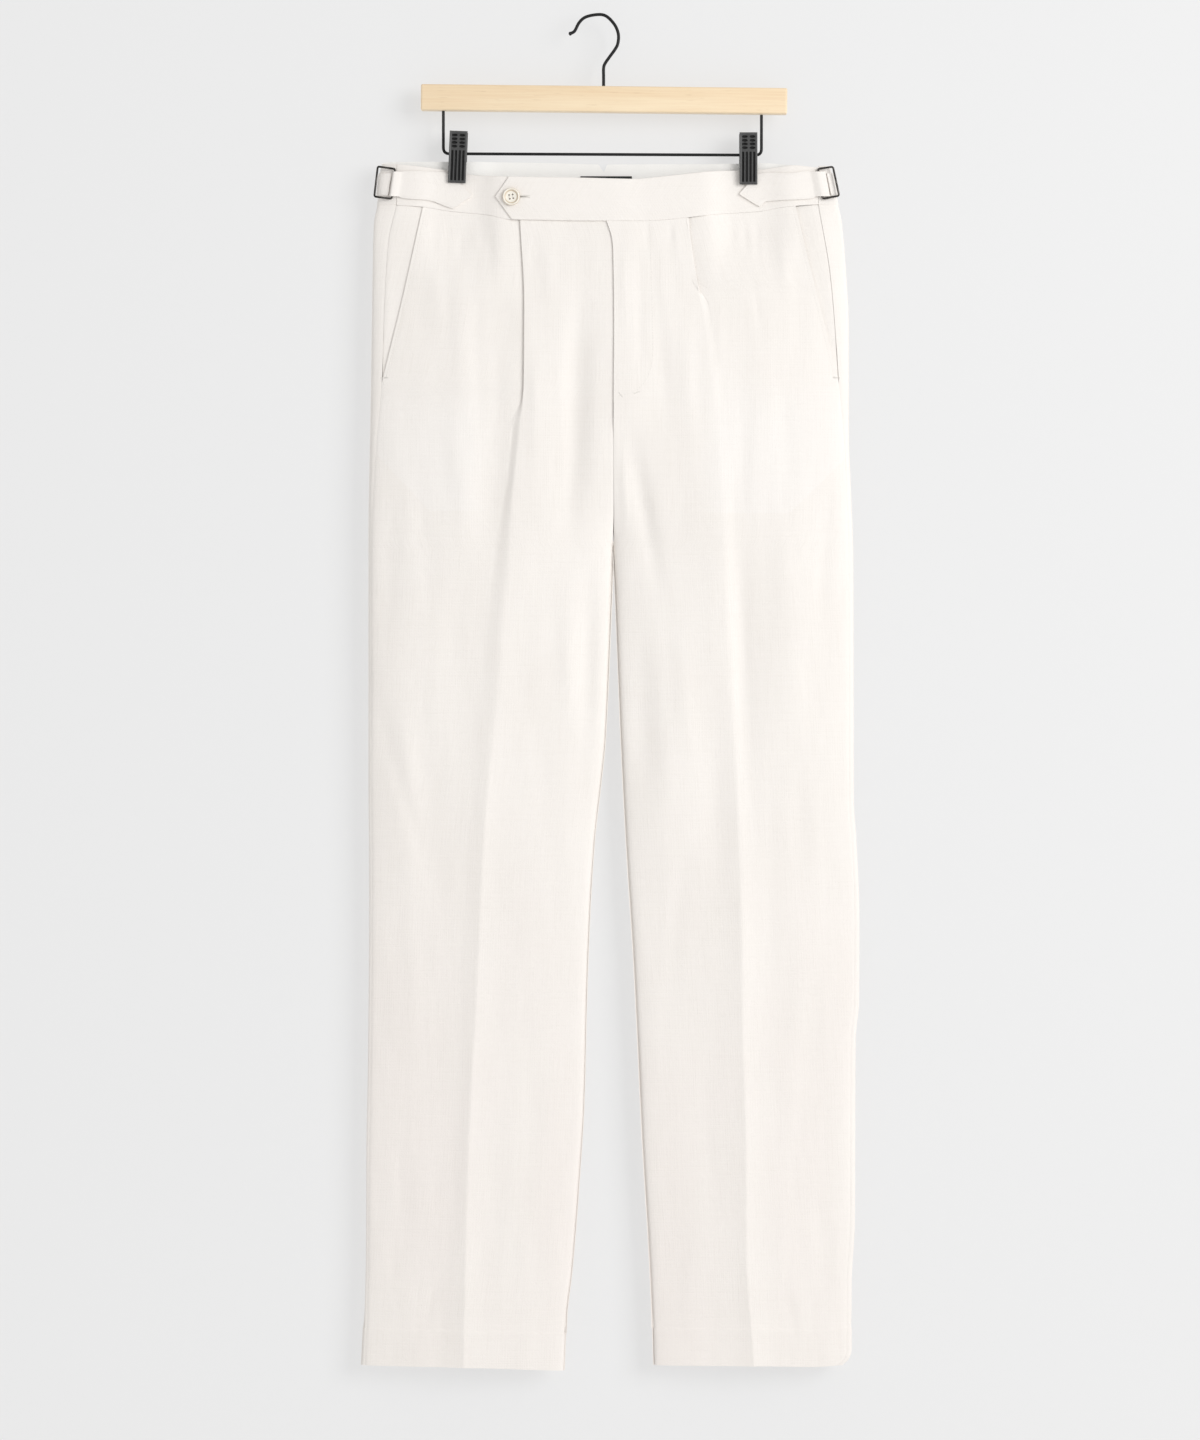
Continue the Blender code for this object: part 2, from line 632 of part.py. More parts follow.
def back_band_line(half, share):
    """One row of the back waistband, from the side seam round the edge to the centre back."""
    drop = side_drop(half, share)
    start = share_of_turn(half, "front", half.seam(drop), drop)
    stations = []
    for step in WRAP_SHARES:
        out = out_at(half, "front", start * step, drop)
        stations.append((*face_point(half, "front", out, drop), drop))
    notch = share_of_turn(half, "back", half.sign * NOTCH_X[half.name], drop)
    turns = [0.0, start * 0.3, start * 0.7, *(start + step * (notch - start) for step in BACK_BAND_SHARES), notch, 1.0]
    for turn in turns:
        out = out_at(half, "back", turn, drop)
        if turn == 1.0:
            out += GAP / 2
        x = half.sign * out
        own = BACK_TOP(x) * (1 - share) + BACK_SEAM * share
        stations.append((*face_point(half, "back", out, own), own))
    return stations


def make_back_waistbands():
    for half in HALVES:
        rows = []
        for share in WAISTBAND_SHARES:
            stations = back_band_line(half, share)
            count = len(stations)
            rows.append(section(half, ("front", "back"), stations, [0.0] * count, [WAISTBAND] * count))
        closed_loft(f"waistband_back_{half.name}", LINEN, rows)


# --- Side straps and buckles ---------------------------------------------------------------------

@dataclass
class SideTab:
    half: Half
    top: Line             # upper edge of the strap: (out, drop)
    bottom: Line          # lower edge: (out, drop)
    end: tuple            # the pointed free end: (share of height, out)
    stations: tuple       # out
    bar: tuple            # the buckle's inner bar: out at the top and at the bottom
    bar_drops: tuple
    outer_bar: tuple      # out at the top and at the bottom
    outer_drops: tuple
    reach: float          # how far the strap's loop goes past the bar


SIDE_TABS = (
    SideTab(RIGHT, Line((120, 158), (140.6, 155.4), (147.4, 152.4), (184, 151.6), (196, 152.4)),
            Line((120, 190), (139.6, 187.5), (163.5, 179.8), (184, 178.4), (196, 176.2)),
            ((0.0, 140.6), (0.53, 120.2), (1.0, 139.6)), (142, 149, 157, 166, 176, 185),
            bar=(195.2, 198.6), bar_drops=(149.6, 178.6), outer_bar=(212.4, 215.8), outer_drops=(147.2, 176.4),
            reach=2.4),
    SideTab(LEFT, Line((138, 155), (156.2, 153.9), (165, 152.8), (186.3, 153.6), (205, 151.8), (216, 152.4)),
            Line((138, 187), (158.5, 185.7), (165, 180.8), (205, 178.6), (217, 176.2)),
            ((0.0, 156.2), (0.58, 138.4), (1.0, 158.5)), (160, 165, 174, 184, 194, 205),
            bar=(215, 219.4), bar_drops=(149.4, 178.6), outer_bar=(229.6, 235.6), outer_drops=(147.4, 175.6),
            reach=7.0),
)
TAB_SHARES = (0.0, 0.27, 0.53, 0.77, 1.0)
BUCKLE_WIRE = 1.0         # radius
BUCKLE_CORNER = 2.0
ANCHOR_REACH = 185.0      # where the band from the back is sewn on, behind

# The strap's loop round the bar, from the bar's centre line: how far out its outside and its inside
# lie, and how high each is above the waistband. "far" rows move out by the loop's reach.
BAR_HEIGHT = GAP + LOOP_CLOTH + GAP + BUCKLE_WIRE
ROUND = BUCKLE_WIRE + GAP
LOOP = (
    # far, outside out, outside height, inside out, inside height
    (False, -7.0, GAP + STRAP, -7.0, GAP),
    (False, -3.4, BAR_HEIGHT + ROUND, -4.0, BAR_HEIGHT - 0.6),
    (False, 0.0, BAR_HEIGHT + ROUND + LOOP_CLOTH, 0.0, BAR_HEIGHT + ROUND),
    (True, -0.8, BAR_HEIGHT + ROUND + 0.4, -1.4, BAR_HEIGHT + 0.95),
    (True, 0.0, BAR_HEIGHT, -LOOP_CLOTH, BAR_HEIGHT),
    (True, -0.8, GAP + 0.6, -1.4, BAR_HEIGHT - 0.95),
    (False, 0.0, GAP, 0.0, GAP + LOOP_CLOTH),
    (False, -3.0, GAP, -3.0, GAP + LOOP_CLOTH),
)


def raised(half, out, drop, height):
    """A point that lies a height above the front's outside."""
    x, y = face_point(half, "front", out, drop)
    across, along = end_normal(half, "front", out, drop)
    return x + across * height, y + along * height


def make_side_strap(tab):
    half = tab.half
    rows = []
    for share in TAB_SHARES:
        outs = [pointed(tab.end, share), *tab.stations]
        bar = tab.bar[0] + share * (tab.bar[1] - tab.bar[0])
        lines = ([], [])
        drops = []
        for out in outs:
            drop = tab.top(out) + share * (tab.bottom(out) - tab.top(out))
            lines[0].append(raised(half, out, drop, GAP + STRAP))
            lines[1].append(raised(half, out, drop, GAP))
            drops.append(drop)
        drop = tab.top(bar) + share * (tab.bottom(bar) - tab.top(bar))
        (bar_out, bar_y), (across, along) = face_point(half, "front", bar, drop), end_normal(half, "front", bar, drop)
        for far, outside, outside_height, inside, inside_height in LOOP:
            shift = tab.reach if far else 0.0
            for line, place, height in zip(lines, (outside, inside), (outside_height, inside_height)):
                line.append((bar_out - along * (place + shift) + across * height,
                             bar_y + across * (place + shift) + along * height))
            drops.append(drop)
        rows.append(tuple(placed(half, line, drops) for line in lines))
    closed_loft(f"side_strap_{half.name}", LINEN, rows)


def make_strap_anchor(tab):
    """A band that is sewn to the back waistband and comes round the side under the buckle."""
    half = tab.half
    rows = []
    for share in (0.0, 0.5, 1.0):
        bar = tab.bar[0] + share * (tab.bar[1] - tab.bar[0])
        drop = tab.top(bar) + 1 + share * (tab.bottom(bar) - tab.top(bar) - 2)
        first = share_of_turn(half, "front", bar + tab.reach + 1.2, drop)
        last = share_of_turn(half, "back", ANCHOR_REACH, drop)
        stations = []
        for step in (1.0, 0.6, 0.3):
            out = out_at(half, "front", first * step, drop)
            stations.append((*face_point(half, "front", out, drop), drop))
        for step in (0.0, 0.12, 0.3, 0.5, 0.75, 1.0):
            out = out_at(half, "back", last * step, drop)
            stations.append((*face_point(half, "back", out, drop), drop))
        count = len(stations)
        rows.append(section(half, ("front", "back"), stations, [GAP + ANCHOR] * count, [ANCHOR] * count))
    closed_loft(f"strap_anchor_{half.name}", LINEN, rows)


def make_buckle(tab):
    half = tab.half
    corners = []
    for out, drop in zip(tab.bar, tab.bar_drops):
        corners.append((*raised(half, out, drop, BAR_HEIGHT), drop))
    y = sum(corner[1] for corner in corners) / 2
    for out, drop in zip(reversed(tab.outer_bar), reversed(tab.outer_drops)):
        corners.append((out, y, drop))
    path = rounded_corners([placed(half, [corner[:2]], [corner[2]])[0] for corner in corners],
                           BUCKLE_CORNER * MM, 4, cyclic=True)
    wire_object(f"buckle_{half.name}", NICKEL, path, BUCKLE_WIRE, cyclic=True)


# --- Button and label ----------------------------------------------------------------------------

BUTTON_PLACE = (-82.7, 177.0)
# Half of the button's section, from the middle of its back to the middle of its front: (radius, height)
BUTTON_PROFILE = ((0.0, 1.2), (5.6, 1.2), (6.8, 1.8), (6.8, 2.6), (7.6, 3.0), (8.3, 2.6), (8.5, 1.6), (7.8, 0.6),
                  (6.2, 0.0), (0.0, 0.0))
LABEL_X = (-15.6, -4.0, 8.0, 20.0, 34.5)
LABEL_DROPS = (157.4, 170.0, 182.0)
LABEL_CLOTH = 0.8


def make_button():
    data = bpy.data.meshes.new("button")
    points = [(radius * MM, 0.0, height * MM) for radius, height in BUTTON_PROFILE]
    data.from_pydata(points, [(n, n + 1) for n in range(len(points) - 1)], [])
    data.materials.append(HORN)
    button = bpy.data.objects.new("button", data)
    PARTS.objects.link(button)
    turned = button.modifiers.new("turned", "SCREW")
    turned.steps = turned.render_steps = 24
    turned.use_merge_vertices = True
    turned.merge_threshold = 1e-5
    turned.use_smooth_shade = True
    x, drop = BUTTON_PLACE
    out, y = face_point(RIGHT, "front", -x, drop)
    across, along = end_normal(RIGHT, "front", -x, drop)
    normal = Vector((-across, along, 0.0))
    seat = Vector((x, y, -drop)) + normal * (BAND_LAP + GAP)
    button.matrix_world = Matrix.Translation(seat * MM) @ normal.to_track_quat("Z", "Y").to_matrix().to_4x4()


def make_label():
    rows = []
    for drop in LABEL_DROPS:
        stations = [(*face_point(LEFT, "back", x, drop), drop) for x in LABEL_X[::-1]]
        count = len(stations)
        rows.append(section(LEFT, ("back", "back"), stations, [-WAISTBAND - GAP] * count, [LABEL_CLOTH] * count))
    closed_loft("label", BLACK_TAPE, rows)


# --- Hanger --------------------------------------------------------------------------------------

BAR_SIZE = (356.2, 11.0, 25.4)
BAR_CENTRE = (7.3, 81.1)          # x, drop
BAR_TILT = math.atan2(3.9, 356.2)
HOOK_RADIUS = 1.55
HOOK_TIP = 1.25                   # the tip's ball, as a multiple of the wire
# Middle of the hook's wire from its tip to the bar: (x, drop)
HOOK = ((-27.1, 17.2), (-25.0, 16.6), (-21.2, 14.2), (-16.9, 6.2), (-10.7, 0.8), (0.0, -1.6), (7.9, -0.9), (14.1, 3.8),
        (19.1, 10.8), (21.4, 18.7), (20.6, 27.0), (17.8, 32.5), (12.8, 39.4), (8.3, 46.0), (6.9, 50.5), (6.9, 59.0),
        (6.9, 67.8))
WIRE_RADIUS = 1.45
WIRE_CORNERS = ((-149.0, 92.4), (-149.0, 133.7), (160.5, 135.1), (160.5, 96.1))
WIRE_BEND = 6.0


def catmull(points, steps):
    """Points on a smooth curve through hand-placed ones."""
    points = [Vector(point) for point in points]
    ends = [2 * points[0] - points[1], *points, 2 * points[-1] - points[-2]]
    path = []
    for a, b, c, d in zip(ends, ends[1:], ends[2:], ends[3:]):
        for step in range(steps):
            t = step / steps
            path.append(0.5 * (2 * b + (c - a) * t + (2 * a - 5 * b + 4 * c - d) * t**2
                               + (3 * b - a - 3 * c + d) * t**3))
    return path + [points[-1]]


def make_hanger():
    bpy.ops.mesh.primitive_cube_add(size=1)
    bar = bpy.context.object
    bar.name = bar.data.name = "hanger_bar"
    bar.scale = [side * MM for side in BAR_SIZE]
    bpy.ops.object.transform_apply(location=False, rotation=False, scale=True)
    for collection in list(bar.users_collection):
        collection.objects.unlink(bar)
    PARTS.objects.link(bar)
    bar.data.materials.append(MAPLE)
    edges = bar.modifiers.new("rounded edges", "BEVEL")
    edges.width = 1.6 * MM
    edges.segments = 3
    bar.location = (BAR_CENTRE[0] * MM, 0.0, -BAR_CENTRE[1] * MM)
    bar.rotation_euler.y = BAR_TILT
    hook = catmull([(x * MM, 0.0, -drop * MM) for x, drop in HOOK], 2)
    radii = [1.0] * len(hook)
    radii[0], radii[1], radii[2], radii[3] = 0.8, HOOK_TIP, HOOK_TIP, 1.05
    wire_object("hook", BLACK_STEEL, hook, HOOK_RADIUS, radii=radii)
    corners = [(x * MM, 0.0, -drop * MM) for x, drop in WIRE_CORNERS]
    wire_object("hanger_wire", BLACK_STEEL, rounded_corners(corners, WIRE_BEND * MM, 5, cyclic=False), WIRE_RADIUS)


# A clip's two jaws, seen from the side: (distance from the middle plane, drop below the clip's top)
CLIP_WIDTH = 17.3
CLIP_TOPS = {"right": (-133.8, 112.6, math.radians(2.2)), "left": (147.6, 114.0, 0.0)}   # x, drop, tilt
WIRE_LEVEL = 21.0                 # the wire passes this far below the clip's top
WIRE_CLEARANCE = WIRE_RADIUS + GAP
FRONT_GRIP = CLIPPED_DEPTH + GAP + STRAP + GAP + 0.3
BACK_GRIP = CLIPPED_DEPTH + GAP + 0.2
CLIP_HEIGHT = 50.4


def jaw_profile(grip):
    """A lever: thin at the top, with a rib that bears on the wire, and a pad that grips the cloth."""
    back = grip + 2.6
    return ((back + 0.6, 0.0), (back + 1.6, 5.0), (back + 1.8, 24.0), (back + 1.0, 38.0), (back, CLIP_HEIGHT),
            (grip, CLIP_HEIGHT), (grip, 36.0), (max(grip, WIRE_CLEARANCE + 1.2), 27.0), (WIRE_CLEARANCE, 23.5),
            (WIRE_CLEARANCE, 18.5), (WIRE_CLEARANCE + 1.8, 14.5), (back - 2.0, 0.0))


def make_clips():
    for name, (x, drop, tilt) in CLIP_TOPS.items():
        for face, toward, grip in (("front", -1, FRONT_GRIP), ("back", 1, BACK_GRIP)):
            shape = bmesh.new()
            profile = jaw_profile(grip)
            side = shape.faces.new([shape.verts.new((-CLIP_WIDTH / 2 * MM, toward * y * MM, -down * MM))
                                    for y, down in profile])
            pushed = bmesh.ops.extrude_face_region(shape, geom=[side])["geom"]
            bmesh.ops.translate(shape, vec=(CLIP_WIDTH * MM, 0, 0),
                                verts=[item for item in pushed if isinstance(item, bmesh.types.BMVert)])
            bmesh.ops.recalc_face_normals(shape, faces=shape.faces)
            jaw = mesh_object(f"clip_{face}_{name}", BLACK_PLASTIC, shape)
            jaw.location = (x * MM, 0.0, -drop * MM)
            jaw.rotation_euler.y = tilt
            edges = jaw.modifiers.new("soft edges", "BEVEL")
            edges.width = 0.6 * MM
            edges.segments = 1


# --- The whole ------------------------------------------------------------------------------------

for old in list(bpy.data.objects):
    bpy.data.objects.remove(old)
PARTS = bpy.data.collections.new(OBJECT_NAME)
bpy.context.scene.collection.children.link(PARTS)

LINEN = material("linen", (0.93, 0.915, 0.885), 0.9)
POCKETING = material("pocketing", (0.95, 0.95, 0.94), 0.9)
MAPLE = material("maple", (0.86, 0.70, 0.46), 0.45)
BLACK_STEEL = material("black_steel", (0.02, 0.02, 0.02), 0.35, 0.2)
BLACK_PLASTIC = material("black_plastic", (0.05, 0.05, 0.055), 0.4)
NICKEL = material("nickel", (0.42, 0.41, 0.40), 0.25, 1.0)
HORN = material("horn", (0.88, 0.84, 0.74), 0.35)
BLACK_TAPE = material("black_tape", (0.015, 0.015, 0.015), 0.8)

for side in HALVES:
    make_front(side)
    make_back(side)
    make_pocket_facing(side)
    make_pocket_bag(side)
make_front_waistbands()
make_back_waistbands()
for side_tab in SIDE_TABS:
    make_side_strap(side_tab)
    make_strap_anchor(side_tab)
    make_buckle(side_tab)
make_button()
make_label()
make_hanger()
make_clips()
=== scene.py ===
# %% [markdown]
# # Side tab trousers on a clip hanger
#
# White linen trousers hang from the two clips of a wooden hanger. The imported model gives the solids
# at their real size, and this script dresses them: a finely modelled skin of cloth over each plain
# wall, thread, and finishes for wood, wire and plastic.
#
# Sizes in the tables are millimetres. A place on the garment is given by `drop`, how far it lies
# below the inside top of the hanger's hook, which is the origin, and by `out`, how far it lies from
# the plane x = 0 towards its own side, or by x, positive towards the viewer's right. "Right" and
# "left" are the wearer's. The viewer looks along +Y, so the front of the cloth has negative y.

# %% Load the frame
import math
from dataclasses import dataclass

import bmesh
import bpy
import numpy as np
from mathutils import Matrix, Vector


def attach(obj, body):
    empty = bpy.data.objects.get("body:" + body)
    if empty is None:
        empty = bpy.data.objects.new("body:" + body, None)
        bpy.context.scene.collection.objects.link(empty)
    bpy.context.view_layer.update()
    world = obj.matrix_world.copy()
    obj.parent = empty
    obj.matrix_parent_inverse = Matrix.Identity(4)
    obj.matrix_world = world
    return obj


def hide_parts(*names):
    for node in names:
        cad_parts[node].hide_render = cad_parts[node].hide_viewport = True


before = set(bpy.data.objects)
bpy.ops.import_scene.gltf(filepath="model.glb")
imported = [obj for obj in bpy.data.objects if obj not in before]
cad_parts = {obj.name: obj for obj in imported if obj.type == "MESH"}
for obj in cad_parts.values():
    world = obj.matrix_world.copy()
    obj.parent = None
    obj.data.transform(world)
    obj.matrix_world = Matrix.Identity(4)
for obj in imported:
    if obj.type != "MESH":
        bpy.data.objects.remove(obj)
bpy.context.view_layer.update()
MM = 0.001
BODY = "root"
print("solids in the frame:", len(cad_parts))

# %% [markdown]
# ## The camera
#
# The photograph looks straight at the front through a long lens, so nothing converges. A camera
# four metres off does the same. The hanger's bar gave the scale of the photograph's pixels.

# %% Camera
PHOTO_SIZE = (1200, 1440)
MM_PER_PIXEL = 0.973
HOOK_TOP_PIXEL = (596.5, 16.3)     # where the origin lies in the photograph
CAMERA_DISTANCE = 4.0
SENSOR = 36.0

view_height = PHOTO_SIZE[1] * MM_PER_PIXEL * MM
camera_data = bpy.data.cameras.new("studio_camera")
camera_data.sensor_fit = "VERTICAL"
camera_data.sensor_height = SENSOR
camera_data.lens = SENSOR * CAMERA_DISTANCE / view_height
camera = bpy.data.objects.new("studio_camera", camera_data)
bpy.context.scene.collection.objects.link(camera)
camera.location = ((PHOTO_SIZE[0] / 2 - HOOK_TOP_PIXEL[0]) * MM_PER_PIXEL * MM, -CAMERA_DISTANCE,
                   -(PHOTO_SIZE[1] / 2 - HOOK_TOP_PIXEL[1]) * MM_PER_PIXEL * MM)
camera.rotation_euler = (math.pi / 2, 0.0, 0.0)
bpy.context.scene.camera = camera
print(f"lens {camera_data.lens:.0f} mm, view {view_height:.3f} m high")

# %% [markdown]
# ## Shader maths as Python
#
# A material is a graph of nodes, and a graph is hard to read. The class below wraps one output
# socket and gives it operators, so that `1 - mask * 0.3` adds the Math nodes for us. Wired by hand,
# each sum would take four lines.

# %% The socket class
class Sock:
    """An output socket of a shader graph that can be used in a Python expression."""

    def __init__(self, tree, socket):
        self.tree, self.socket = tree, socket

    def node(self, kind, settings=None, inputs=None, output=0):
        """Adds any node: its settings first, and then the values or links of its sockets."""
        made = self.tree.nodes.new(kind)
        for name, value in (settings or {}).items():
            setattr(made, name, value)
        for name, value in (inputs or {}).items():
            if isinstance(value, Sock):
                self.tree.links.new(value.socket, made.inputs[name])
            else:
                made.inputs[name].default_value = value
        return Sock(self.tree, made.outputs[output])

    def math(self, operation, *values):
        return self.node("ShaderNodeMath", {"operation": operation}, dict(enumerate(values)))

    def __add__(self, other):
        return self.math("ADD", self, other)

    def __sub__(self, other):
        return self.math("SUBTRACT", self, other)

    def __rsub__(self, other):
        return self.math("SUBTRACT", other, self)

    def __mul__(self, other):
        return self.math("MULTIPLY", self, other)

    __radd__ = __add__
    __rmul__ = __mul__

    def between(self, low, high):
        """0 below low, 1 above high, and smooth between them."""
        return self.node("ShaderNodeMapRange", {"interpolation_type": "SMOOTHSTEP"},
                         {"Value": self, "From Min": low, "From Max": high})

    def mix(self, first, second):
        """The first colour where this is 0 and the second where it is 1."""
        return self.node("ShaderNodeMix", {"data_type": "RGBA"}, {0: self, 6: first, 7: second}, 2)

    def vector(self, operation, value=None, output=0):
        inputs = {0: self} if value is None else {0: self, 1: value}
        return self.node("ShaderNodeVectorMath", {"operation": operation}, inputs, output)

    def scaled(self, *factors):
        return self.vector("MULTIPLY", factors)

    def part(self, axis):
        return self.node("ShaderNodeSeparateXYZ", None, {0: self}, "XYZ".index(axis))

    def noise(self, scale, detail=2.0, roughness=0.5, distortion=0.0):
        return self.node("ShaderNodeTexNoise", None,
                         {"Vector": self, "Scale": scale, "Detail": detail,
                          "Roughness": roughness, "Distortion": distortion})


# %% [markdown]
# ## What every material starts from
#
# Each finish is one Principled shader. A constant goes on the shader's own socket, and what varies
# over the surface is linked. Cloth is measured by its UV map, which is in metres, so that a thread
# is as wide on every piece, and hard pieces by the object's coordinates.

# %% Starting a material
def new_finish(name, roughness, coordinates="Object", **constants):
    """A material with one Principled shader: (material, shader node, coordinates as a Sock)."""
    made = bpy.data.materials.new(name)
    made.use_nodes = True
    tree = made.node_tree
    shader = tree.nodes["Principled BSDF"]
    shader.inputs["Roughness"].default_value = roughness
    for socket, value in constants.items():
        shader.inputs[socket.replace("_", " ")].default_value = value
    texture = tree.nodes.new("ShaderNodeTexCoord")
    return made, shader, Sock(tree, texture.outputs[coordinates])


def give(shader, socket, value):
    """Links a Sock to one of the shader's sockets."""
    value.tree.links.new(value.socket, shader.inputs[socket])


def bumped(height, distance, strength=1.0):
    return height.node("ShaderNodeBump", None,
                       {"Height": height, "Distance": distance, "Strength": strength})


def grey(value):
    return (value, value, value, 1.0)

# %% [markdown]
# ## Linen
#
# Linen is a plain weave of uneven flax yarn: here and there a yarn swells into a slub. The finish
# has three scales: the yarns' crossings as a fine bump, long thin streaks both ways for the slubs,
# and a slow change of tone. The cloth is thin, and where a pocket bag lies behind it, a mask that
# ends at the bag's cut edge makes the front a little whiter.

# %% The linen finish
YARN = 0.00072            # from one yarn to the next, in metres
SLUB_LENGTH = 0.045
LINEN_LIGHT = (0.900, 0.862, 0.822, 1.0)
LINEN_DARK = (0.815, 0.768, 0.715, 1.0)
LINEN_LOW_SHADE = (0.862, 0.795, 0.762, 1.0)     # painted shade: the legs are darker and warmer lower down, where the light falls off
LOW_SHADE_FROM, LOW_SHADE_TO = 0.65, 1.15
BAG_SHOWS = (0.925, 0.905, 0.885, 1.0)
BAG_FADES = -0.33         # above this height the bag doesn't show
BAG_EDGE = 0.0008
WEAVE_BUMP = 0.00035


def streaks(cloth, along, seed):
    """Thin uneven lines along U or V: long noise cells that are one or two yarns wide."""
    across, lengthwise = 1.0 / (1.6 * YARN), 1.0 / SLUB_LENGTH
    scale = (lengthwise, across, 1.0) if along == "U" else (across, lengthwise, 1.0)
    return cloth.scaled(*scale).vector("ADD", (seed, seed, seed)).noise(1.0, 1.5, 0.6)


def woven(cloth, axes, pitch, limit):
    """The yarns' crossings, as a chequer of soft bumps."""
    first, second = (cloth.part(axis) * (math.pi / pitch) for axis in axes)
    return (first.math("SINE", first) * second.math("SINE", second)).between(-limit, limit)


def bag_mask(out, z, inner, outer, corner, lowest, cut):
    """1 where a bag, whose lower outer corner is cut off, lies behind the front."""
    out = out.math("ABSOLUTE", out)
    slant = (corner - z) * (cut / (corner - lowest))
    limit = outer - slant.math("MAXIMUM", slant, 0.0)
    return ((out - inner).between(0.0, 0.03) * (limit - out).between(-BAG_EDGE, BAG_EDGE)
            * (z - lowest).between(-BAG_EDGE, BAG_EDGE) * (BAG_FADES - z).between(0.0, 0.08))


def linen_finish(name, bag=None):
    """bag is the pocket bag behind a front, as bag_mask reads it."""
    made, shader, cloth = new_finish(name, 0.86, "UV", Sheen_Weight=0.15, Sheen_Roughness=0.45,
                                     Specular_IOR_Level=0.2)
    warp, weft = streaks(cloth, "V", 3.1), streaks(cloth, "U", 7.7)
    slubs = warp.between(0.52, 0.74) * 0.6 + weft.between(0.56, 0.78) * 0.3
    tone = cloth.noise(9.0, detail=3.0)
    shade = slubs * 0.26 + tone.between(0.35, 0.7) * 0.16 + (warp + weft) * 0.16
    place = cloth.node("ShaderNodeTexCoord", output="Object")
    out, z = place.part("X"), place.part("Z")
    patchy = place.scaled(1.0, 1.0, 0.4).noise(9.0).between(0.25, 0.65)
    # painted shade: in patches the legs turn darker and warmer downwards, standing in for the light
    # falling off
    low = (0.0 - z).between(LOW_SHADE_FROM, LOW_SHADE_TO) * patchy
    color = (low * 0.35).mix(shade.mix(LINEN_LIGHT, LINEN_DARK), LINEN_LOW_SHADE)
    if bag:
        color = (bag_mask(out, z, *bag) * 0.22).mix(color, BAG_SHOWS)
    give(shader, "Base Color", color)
    crumple = cloth.noise(120.0, detail=3.0, distortion=0.6)
    height = woven(cloth, "XY", YARN, 0.6) * 0.35 + (warp + weft) * 0.9 + crumple * 0.9
    give(shader, "Normal", bumped(height, WEAVE_BUMP, 0.55))
    give(shader, "Roughness", 0.92 - slubs * 0.14)
    return made


# %% [markdown]
# ## Thread and plain weaves
#
# Sewing thread is twisted and a little glossier than the cloth. The pocketing is finer and whiter.

# %% Thread and plain weaves
def thread_finish():
    made, shader, place = new_finish("thread", 0.6, Sheen_Weight=0.3)
    twist = place.noise(2600.0, detail=1.0)
    give(shader, "Base Color", twist.mix((0.86, 0.84, 0.80, 1.0), (0.72, 0.69, 0.64, 1.0)))
    give(shader, "Normal", bumped(twist, 0.0001, 0.5))
    return made


def plain_weave(name, light, dark, pitch, roughness):
    """A close weave with no slubs."""
    made, shader, place = new_finish(name, roughness, Sheen_Weight=0.2)
    weave = woven(place, "XZ", pitch, 1.0)
    tone = place.noise(60.0, detail=3.0)
    give(shader, "Base Color", (weave * 0.5 + tone * 0.5).mix(dark, light))
    give(shader, "Normal", bumped(weave + tone * 0.5, 0.0002, 0.5))
    return made


# %% [markdown]
# ## Maple, steel, plastic, nickel and horn
#
# The bar is pale maple under a thin satin lacquer, its grain running along the bar as stretched
# noise. Hook and wire are painted steel, the clips moulded plastic, and both are smoother here and
# rougher there. The buckles are nickel wire, darkened in patches. The button is cream horn with
# soft clouds, darker towards the rim and in the step round its dished middle.

# %% The hard finishes
def maple_finish():
    made, shader, place = new_finish("maple", 0.42, Coat_Weight=0.25, Coat_Roughness=0.25)
    bands = place.scaled(2.2, 30.0, 30.0).noise(1.0, 4.0, 0.55, 0.35)
    fibres = place.scaled(16.0, 700.0, 700.0).noise(1.0, detail=3.0)
    flecks = place.scaled(55.0, 900.0, 900.0).noise(1.0, detail=1.0).between(0.64, 0.78)
    grain = (bands * 0.7 + fibres * 0.3).between(0.3, 0.75)
    wood = grain.mix((0.80, 0.60, 0.38, 1.0), (0.91, 0.76, 0.54, 1.0))
    give(shader, "Base Color", (flecks * 0.35).mix(wood, (0.55, 0.36, 0.19, 1.0)))
    give(shader, "Roughness", 0.36 + fibres * 0.16)
    give(shader, "Normal", bumped(fibres + flecks * 0.6, 0.00012, 0.5))
    return made


def black_steel_finish():
    made, shader, place = new_finish("black_steel", 0.35, Specular_IOR_Level=0.25)
    patches = place.noise(90.0, detail=3.0)
    give(shader, "Base Color", patches.mix(grey(0.006), grey(0.014)))
    give(shader, "Roughness", 0.26 + patches * 0.2)
    give(shader, "Normal", bumped(place.noise(700.0, detail=2.0), 0.00006, 0.3))
    return made


def black_plastic_finish():
    """Painted light and shade: the raised rims and ribs, which the jaws' meshes mark, are painted a
    lit grey, and the dimples and grooves a shaded near black.
    """
    made, shader, place = new_finish("black_plastic", 0.4, Specular_IOR_Level=0.3)
    worn = place.node("ShaderNodeAttribute", {"attribute_name": "worn"}, output="Fac")
    tone = place.noise(220.0, detail=2.0)
    # painted light and shade: grey on the raised face, near black in the hollows
    give(shader, "Base Color", (worn * (0.7 + tone * 0.6)).mix(grey(0.004), grey(0.085)))
    give(shader, "Roughness", 0.3 + tone * 0.22)
    give(shader, "Normal", bumped(place.noise(1500.0, detail=2.0), 0.00005, 0.4))
    return made


def nickel_finish():
    made, shader, place = new_finish("nickel", 0.22, Metallic=1.0)
    tarnish = place.noise(150.0, detail=3.0)
    bright, dark = (0.10, 0.092, 0.085, 1.0), (0.025, 0.024, 0.023, 1.0)
    give(shader, "Base Color", tarnish.between(0.35, 0.7).mix(bright, dark))
    give(shader, "Roughness", 0.16 + tarnish * 0.22)
    return made


